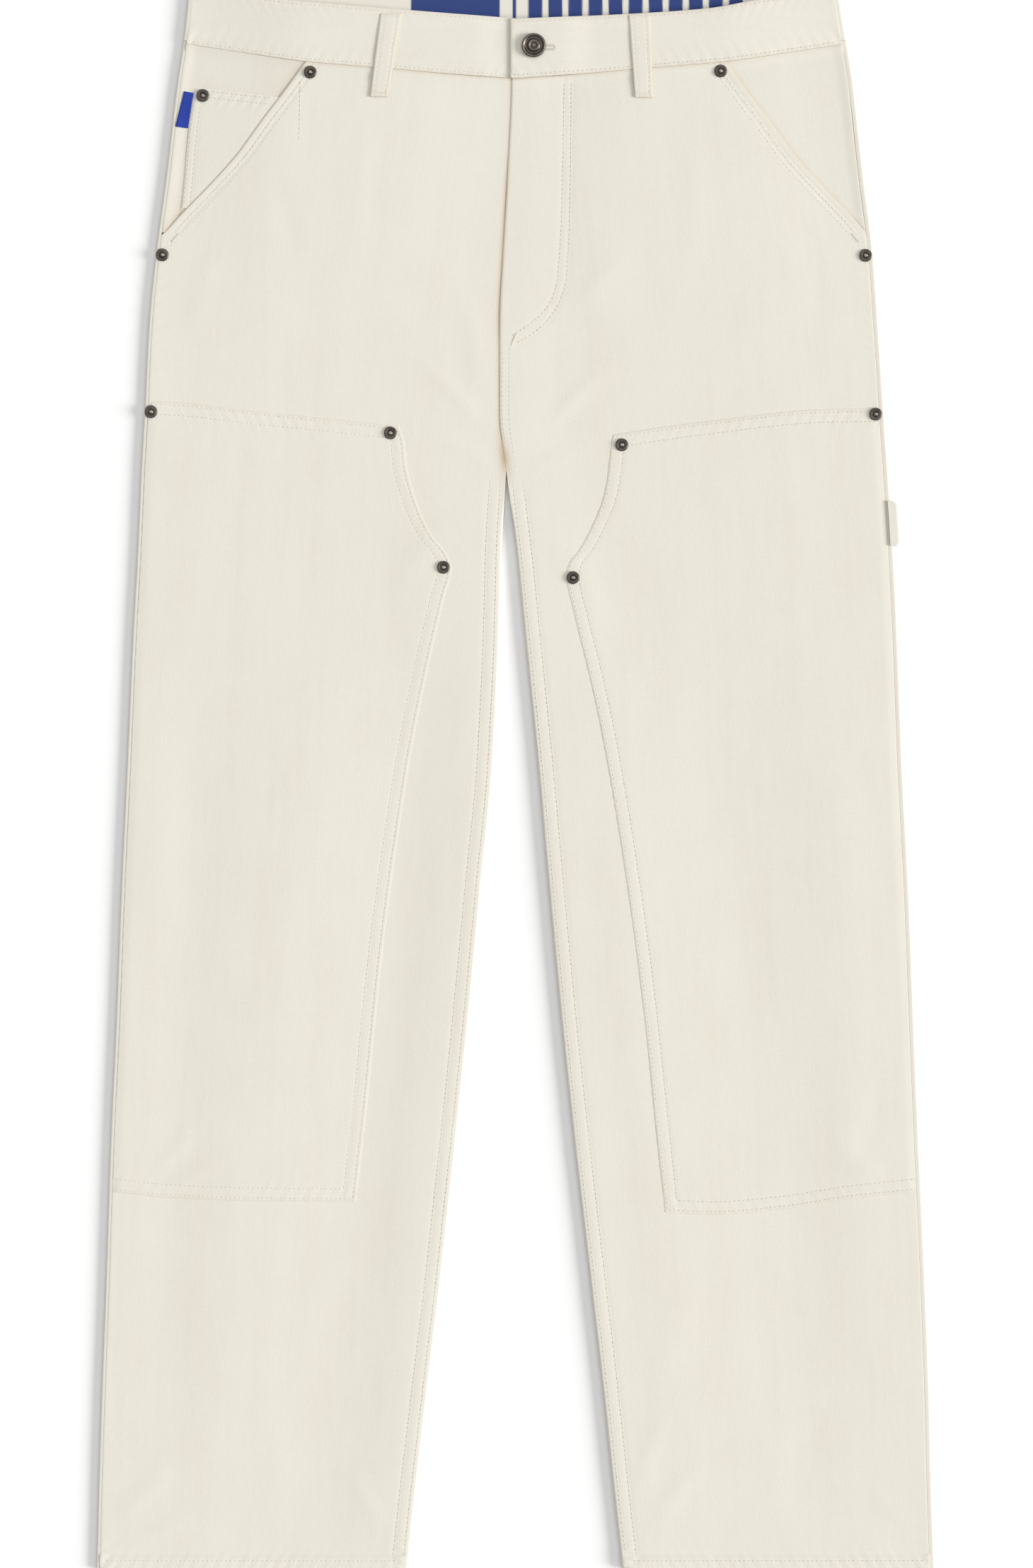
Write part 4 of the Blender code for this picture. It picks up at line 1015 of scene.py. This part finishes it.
def hammerLoop():
    h = hammerCut
    downs = np.linspace(h["top"], h["foot"], h["rows"])
    nearest = np.minimum(downs - h["top"], h["foot"] - downs)
    short = h["corner"] * (1 - ease(nearest / h["corner"]))
    angles = np.radians(np.linspace(90, -90, h["steps"]))
    radius = h["height"] / 2
    skins = []
    for inset in (0.0, h["cloth"]):
        rows = []
        for down, less in zip(downs, short):
            edge = float(left["outer"](down))
            centre = edge + h["reach"] - less - radius
            upper = np.linspace(edge - h["seat"], centre, 8)[:-1]
            lower = np.linspace(centre, edge + h["under"], 5)[1:]
            out = np.concatenate([upper, centre + (radius - inset) * np.cos(angles), lower])
            rounded = radius + (radius - inset) * np.sin(angles)
            height = np.concatenate([0 * upper + h["height"] - inset, rounded, 0 * lower + inset])
            rows.append(place(left, out, down, height))
        skins.append(np.array(rows))
    outer, inner = skins
    run = np.cumsum(np.linalg.norm(np.diff(outer, axis=1, prepend=outer[:, :1]), axis=-1), axis=1)
    clothPiece("hammer_loop", outer, inner, (downs[:, None] + 0 * run, run), denimDouble)


for side in (right, left):
    backPanel(side)
    facing(side)
    frontPanel(side)
    kneePanel(side)
    bandFront(side)
    beltLoop(side)
bandBack()
coinPocket()
sideTab()
hammerLoop()
print("jeans: cloth laid out")


# sewing: each stitch is a short swollen bead of thread, half sunk into its groove
stitchCut = {"pitch": 3.2, "long": 2.7, "wide": 0.72, "high": 0.5, "sunk": 0.06, "skew": 4.0,
             "ahead": 0.6,  # how far to each side of a stitch its direction is read
             "frontLift": -0.14, "bagLift": -0.05, "bandLift": -0.15, "hemLift": -0.18}


class Sewing:
    def __init__(self, name):
        self.name, self.work, self.count = name, bmesh.new(), 0

    def stitch(self, centre, way, normal, long, wide, high):
        x = Vector(way).normalized()
        z = Vector(normal).normalized()
        y = z.cross(x).normalized()
        turn = Matrix((x, y, x.cross(y))).transposed().to_4x4()
        size = Matrix.Diagonal((long / 2 * mm, wide / 2 * mm, high / 2 * mm, 1.0))
        spot = Matrix.Translation(Vector(centre) * mm)
        bmesh.ops.create_icosphere(self.work, subdivisions=1, radius=1.0, matrix=spot @ turn @ size)
        self.count += 1

    def row(self, points, normals, pitch=None):  # stitches along a line of surface points
        s = stitchCut
        pitch = pitch or s["pitch"]
        run = np.r_[0, np.cumsum(np.linalg.norm(np.diff(points, axis=0), axis=1))]
        number = max(int(run[-1] / pitch), 1)
        at = (np.arange(number) + 0.5) * run[-1] / number

        def along(values, place):
            return np.stack([np.interp(place, run, values[:, k]) for k in range(3)], -1)

        ways = along(points, at + s["ahead"]) - along(points, at - s["ahead"])
        for n, (centre, way, normal) in enumerate(zip(along(points, at), ways, along(normals, at))):
            lean = math.radians(s["skew"] * math.sin(2.1 * (n + self.count)))
            side = np.cross(normal, way)
            self.stitch(centre + normal * s["sunk"], way * math.cos(lean) + side * math.sin(lean), normal,
                        s["long"] * pitch / s["pitch"], s["wide"], s["high"])

    def tack(self, centre, way, normal, length, width, turns=14):
        # a bar tack: thread packed side by side across a short bar
        way, normal = np.array(way, float), np.array(normal, float)
        way, normal = way / np.linalg.norm(way), normal / np.linalg.norm(normal)
        across = np.cross(normal, way)
        for n in range(turns):
            spot = np.array(centre) + way * length * ((n + 0.5) / turns - 0.5) + normal * 0.06
            slant = across + way * (0.18 if n % 2 else -0.18)
            self.stitch(spot, slant, normal, width, length / turns * 1.5, 0.5)

    def finish(self):
        piece = finishPiece(pieceFrom(self.name, self.work), thread)
        piece.data.shade_smooth()


def drawLine(points, step=1.0):  # a smooth line through (out, down) points, as close points
    points = np.array(points, float)
    run = np.r_[0, np.cumsum(np.hypot(*np.diff(points, axis=0).T))]
    fine = np.linspace(0, run[-1], max(int(run[-1] / step), 2) + 1)
    return np.stack([smoothCurve(run, points[:, k])(fine) for k in range(2)], -1)


def onCloth(side, line, lift=0.0, pointOf=frontPoint):
    # surface points and normals under a drawn line
    out, down = line[:, 0], line[:, 1]
    across = acrossAt(side, out, down)
    return raised(pointOf, side, across, down, lift), normalAt(pointOf, side, across, down)


def shifted(line, distance):  # the line moved sideways, to its right hand as it runs
    way = np.gradient(line, axis=0)
    way /= np.hypot(*way.T)[:, None]
    return line + distance * np.stack([-way[:, 1], way[:, 0]], -1)


def clipLine(line, keep):
    return line[keep(line[:, 0], line[:, 1])]


def frontSewing(side):
    sewing = Sewing("stitching_front_" + side["name"])
    low = stitchCut["frontLift"]

    def follow(outOf, down):  # a row along a curve of the front
        sewing.row(*onCloth(side, np.stack([outOf, down], -1), low))

    down = np.linspace(352.0, 1116.0, 240)
    for depth in sewn["inseam"]["rows"]:
        follow(innerEdge(side, down) + depth, down)
    slant = np.stack([slantOut(np.linspace(59, 182, 120)), np.linspace(59, 182, 120)], -1)
    for depth in sewn["slant"]["rows"]:
        moved = clipLine(shifted(slant, depth), lambda out, down: down > waistSeam(np.abs(out)) + 2)
        sewing.row(*onCloth(side, moved, low))
    foot = cut["length"]
    outs = np.linspace(float(side["leg"](foot)) + 4, float(side["outer"](foot)) - 7, 200)
    hem = np.stack([outs, hemDown(side, outs) - sewn["hem"]["rows"][0]], -1)
    sewing.row(*onCloth(side, hem, cut["hemRise"] + stitchCut["hemLift"]))
    if side is left:
        for name in ("flyOuter", "flyInner"):
            sewing.row(*onCloth(side, drawLine(drawn[name]), low))
        down = np.linspace(258, 344, 80)
        for depth in sewn["crotch"]["rows"]:
            follow(innerEdge(side, down) + depth, down)
    else:
        sewing.row(*onCloth(side, drawLine(drawn["bag"]), stitchCut["bagLift"]))
    return sewing


def kneeSewing(side):
    sewing = Sewing("stitching_knee_" + side["name"])
    mine = kneeCut[side["name"]]
    lift = cut["patch"] + stitchCut["frontLift"]
    innerOut = curveOf(mine["inner"], byDown=True)
    topDown, footDown = curveOf(mine["top"]), curveOf(mine["foot"])
    first, last = mine["inner"][0][1], mine["inner"][-1][1]
    for depth in sewn["knee"]["rows"]:
        down = np.linspace(first + depth, last - depth, 500)
        sewing.row(*onCloth(side, np.stack([innerOut(down) + depth * 1.03, down], -1), lift))
        for curve, at, way in ((topDown, first, 1), (footDown, last, -1)):
            end = float(side["outer"](at)) - side["strip"] - 2.4
            out = np.linspace(float(innerOut(at)) + depth, end, 160)
            sewing.row(*onCloth(side, np.stack([out, curve(out) + way * depth], -1), lift))
    return sewing


def bandSewing(side):
    sewing = Sewing("stitching_waistband_" + side["name"])
    inwards, low = sewn["bandTop"]["rows"][0], stitchCut["bandLift"]
    end = 2.0 if side is right else bandEnd(side) + inwards
    outs = np.linspace(end, float(side["outer"](40)) - side["strip"] - 4.0, 220)
    top = np.stack([outs, bandTop[side["name"]](np.maximum(outs, 0)) + inwards], -1)
    foot = np.stack([outs, waistSeam(np.abs(outs)) - inwards], -1)
    for line in (top, foot):
        sewing.row(*onCloth(side, line, low, bandPoint))
    if side is left:
        down = np.linspace(float(bandTop["left"](0)) + inwards, float(waistSeam(0)) - inwards, 40)
        sewing.row(*onCloth(side, np.stack([0 * down + end, down], -1), low, bandPoint))
    p, along = loopCut, np.linspace(0.05, 0.95, 80)
    for way in (-p["stitchWay"], p["stitchWay"]):
        points = loopPlace(side, along, way, p["cloth"] - 0.2)
        sewing.row(points, np.tile([0.0, 0.0, 1.0], (len(along), 1)))
    for at in p["tackAlong"]:
        centre = loopPlace(side, np.array([at]), 0.0, p["cloth"] - 0.25)[0]
        sewing.tack(centre, (1, 0, 0), (0, 0, 1), p["foot"] - 2.0, 2.4, 18)
    return sewing


def smallSewing():
    sewing = Sewing("stitching_pockets")
    c, lift = coinCut, cut["coin"] + stitchCut["frontLift"]
    for depth in sewn["coinTop"]["rows"]:
        down = np.linspace(c["top"][1] + depth + 0.3, 157, 90)
        sewing.row(*onCloth(right, np.stack([coinSide(down) - depth, down], -1), lift, facingPoint))
        outs = np.linspace(coinSide(75) - depth, 172, 60)
        inner, side = c["topOut"]
        downs = mix(c["top"][1], c["top"][0], (side - outs) / (side - inner)) + depth
        line = np.stack([outs, downs], -1)
        line = clipLine(line, lambda out, down: out > slantOut(down) + 3)
        sewing.row(*onCloth(right, line, lift, facingPoint))
    h = hammerCut
    for down in (h["top"] + 2.2, h["foot"] - 2.2):
        edge = float(left["outer"](down))
        outs = np.linspace(edge - 0.5, edge + h["reach"] - 3.6, 12)
        points = place(left, outs, 0 * outs + down, h["height"] - 0.1)
        sewing.row(points, np.tile([0.0, 0.0, 1.0], (len(outs), 1)), 2.2)
    # bar tacks at the bottom of the fly and the ends of the slant pockets: side, from, to, length
    for side, start, end, long in ((left, (-1.0, 253.0), (2.0, 246.0), 9.0),
                                   (right, (240.5, 181.0), (244.5, 185.5), 8.0),
                                   (left, (240.5, 181.0), (244.5, 185.5), 8.0)):
        points, normals = onCloth(side, np.array([start, end]))
        sewing.tack(points[0], points[1] - points[0], normals[0], long, 2.2)
    return sewing


buttonCut = {
    "out": 12.9, "down": 45.7, "above": 0.2, "sides": 72,
    "slit": (20.5, 27.2), "slitDown": 47.0, "slitHalf": 1.35, "slitLift": 0.15,
    # the turned profile, as (radius, height above the cloth, how far rubbed bright)
    "profile": [(0, 2.72, .7), (.9, 2.66, .4), (1.5, 2.4, 0), (2.1, 2.42, .1), (2.6, 2.7, .4),
                (3.1, 2.95, .6), (3.6, 2.98, .4), (4.1, 2.7, .1), (4.5, 2.3, 0), (5.2, 2.16, 0),
                (5.7, 2.3, .2), (6.2, 2.2, 0), (6.7, 2.5, .1), (7.2, 2.9, .5), (7.7, 2.98, .6),
                (8.1, 2.8, .3), (8.4, 2.4, .1), (8.5, 1.9, 0), (8.45, 1.2, 0), (8.0, .7, 0), (7.2, .45, 0),
                (5.0, .35, 0), (3.2, .3, 0), (3.1, 0, 0)],
}


def buttonholeSewing():
    # the worked end of the buttonhole that shows beside the button: two sides, then the round end
    sewing = Sewing("stitching_buttonhole")
    b = buttonCut
    (first, last), half = b["slit"], b["slitHalf"]
    turns = [(first + (last - first) * n / 11, b["slitDown"] + way * half, (0.1, -way, 0.0))
             for way in (-1, 1) for n in range(12)]
    for n in range(1, 8):
        angle = math.pi * (n / 8 - 0.5)
        turns.append((last + half * math.cos(angle), b["slitDown"] + half * math.sin(angle),
                      (math.cos(angle), -math.sin(angle), 0.0)))
    for out, down, way in turns:
        spot = place(left, out, down, bandHeight(left, out, down) + b["slitLift"])
        sewing.stitch(spot, way, (0, 0, 1), 2.0, 0.72, 0.6)
    return sewing


total = 0
for sewing in [frontSewing(right), frontSewing(left), kneeSewing(right), kneeSewing(left),
               bandSewing(right), bandSewing(left), smallSewing(), buttonholeSewing()]:
    total += sewing.count
    sewing.finish()
print("jeans:", total, "stitches sewn")


rivetCut = {
    "profile": [(0, 1.42, .9), (.7, 1.5, 1), (1.1, 1.42, .8), (1.4, 1.1, .2), (1.6, .8, 0), (2.0, .66, 0),
                (2.4, .7, .05), (2.6, .84, .25), (2.9, .8, .05), (3.3, .84, .1), (3.7, .92, .3),
                (4.0, .86, .2), (4.3, .62, .05), (4.48, .36, 0), (4.5, .1, 0), (4.4, 0, 0)],
    "lift": 0.5, "sides": 40,
    # name, side, out, down, what it is set on
    "spots": [("pocket_top_right", right, 145.0, 64.1, "front"),
              ("pocket_top_left", left, 145.0, 63.3, "front"),
              ("pocket_foot_right", right, 249.6, 193.0, "front"),
              ("pocket_foot_left", left, 247.5, 193.4, "front"),
              ("coin_pocket", right, 221.0, 80.4, "coin"),
              ("knee_side_right", right, 257.6, 303.9, "patch"),
              ("knee_side_left", left, 254.6, 305.6, "patch"),
              ("knee_corner_right", right, 88.4, 318.9, "patch"),
              ("knee_corner_left", left, 75.2, 327.3, "patch"),
              ("knee_point_right", right, 50.9, 413.9, "patch"),
              ("knee_point_left", left, 40.7, 421.2, "patch")],
}


def turnedMetal(name, profile, sides, seat, normal, node):
    work = bmesh.new()
    worn = work.verts.layers.float.new("worn")
    verts = []
    for radius, height, rubbed in profile:
        verts.append(work.verts.new((radius * mm, 0, height * mm)))
        verts[-1][worn] = rubbed
    edges = [work.edges.new(pair) for pair in zip(verts, verts[1:])]
    bmesh.ops.spin(work, geom=verts + edges, axis=(0, 0, 1), cent=(0, 0, 0), angle=2 * math.pi, steps=sides,
                   use_merge=True)
    bmesh.ops.remove_doubles(work, verts=work.verts, dist=0.002 * mm)
    rim = [edge for edge in work.edges if edge.is_boundary]
    bmesh.ops.edgeloop_fill(work, edges=rim)
    bmesh.ops.recalc_face_normals(work, faces=work.faces)
    turn = Vector((0, 0, 1)).rotation_difference(Vector(normal)).to_matrix().to_4x4()
    bmesh.ops.transform(work, matrix=Matrix.Translation(Vector(seat) * mm) @ turn, verts=work.verts)
    finishPiece(pieceFrom(name, work), metal, [node])


for name, side, out, down, seatOn in rivetCut["spots"]:
    pointOf = facingPoint if seatOn == "coin" else frontPoint
    under = {"front": 0.0, "coin": cut["coin"], "patch": cut["patch"]}[seatOn]
    spot = np.array([[out, down]])
    seat, normal = onCloth(side, spot, under + rivetCut["lift"], pointOf)
    turnedMetal("rivet_" + name + "_metal", rivetCut["profile"], rivetCut["sides"], seat[0], normal[0],
                "rivet_" + name)
b = buttonCut
height = bandHeight(left, b["out"], b["down"]) + b["above"]
seat = place(left, b["out"], b["down"], height)
turnedMetal("waist_button_metal", b["profile"], b["sides"], seat, (0, 0, 1), "waist_button")
print("jeans: metal turned")


# studio: a pale floor, an even sky, soft light from above and a low broad light from the right
studio = {
    "floorSize": 60.0, "floorUnder": 0.0003, "sky": 0.425,
    "lights": {
        "overheadLight": {"strength": 0.87, "rise": 76.0, "turn": 60.0, "spread": 60.0,
                          "colour": (1.0, 0.998, 0.99)},
        "lowLight": {"strength": 3.72, "rise": 22.5, "turn": -6.0, "spread": 25.0,
                     "colour": (1.0, 0.995, 0.985)},
    },
    "lightsAway": 3.0, "lens": 100.0, "sensor": 36.0,
    "photoHeight": 1.108, "photoCentre": (0.00075, -0.005), "surface": 0.005,
}


def layFloor():
    work = bmesh.new()
    bmesh.ops.create_grid(work, x_segments=1, y_segments=1, size=studio["floorSize"] / 2)
    bmesh.ops.translate(work, vec=(0, 0, -studio["floorUnder"]), verts=work.verts)
    floor = pieceFrom("floor", work)
    floor.data.materials.append(floorPaint)


def hangLights():
    world = bpy.data.worlds.new("softSky")
    world.use_nodes = True
    background = world.node_tree.nodes["Background"]
    background.inputs["Color"].default_value = (1.0, 1.0, 1.0, 1.0)
    background.inputs["Strength"].default_value = studio["sky"]
    bpy.context.scene.world = world
    for name, light in studio["lights"].items():
        lamp = bpy.data.lights.new(name, "SUN")
        lamp.energy, lamp.color = light["strength"], light["colour"]
        lamp.angle = math.radians(light["spread"])
        rise, turn = math.radians(light["rise"]), math.radians(light["turn"])
        away = Vector((math.cos(rise) * math.cos(turn), math.cos(rise) * math.sin(turn), math.sin(rise)))
        shown = bpy.data.objects.new(name, lamp)
        shown.location = away * studio["lightsAway"]
        shown.rotation_euler = away.to_track_quat("Z", "Y").to_euler()
        bpy.context.collection.objects.link(shown)


def aimCamera():
    lens = bpy.data.cameras.new("overheadCamera")
    lens.lens, lens.sensor_width = studio["lens"], studio["sensor"]
    camera = bpy.data.objects.new("overheadCamera", lens)
    x, y = studio["photoCentre"]
    far = studio["photoHeight"] * studio["lens"] / studio["sensor"]
    camera.location = (x, y, studio["surface"] + far)
    bpy.context.collection.objects.link(camera)
    bpy.context.scene.camera = camera
    bpy.context.scene.view_settings.view_transform = "Standard"


layFloor()
hangLights()
aimCamera()
bpy.context.view_layer.update()
print("jeans: studio lit")
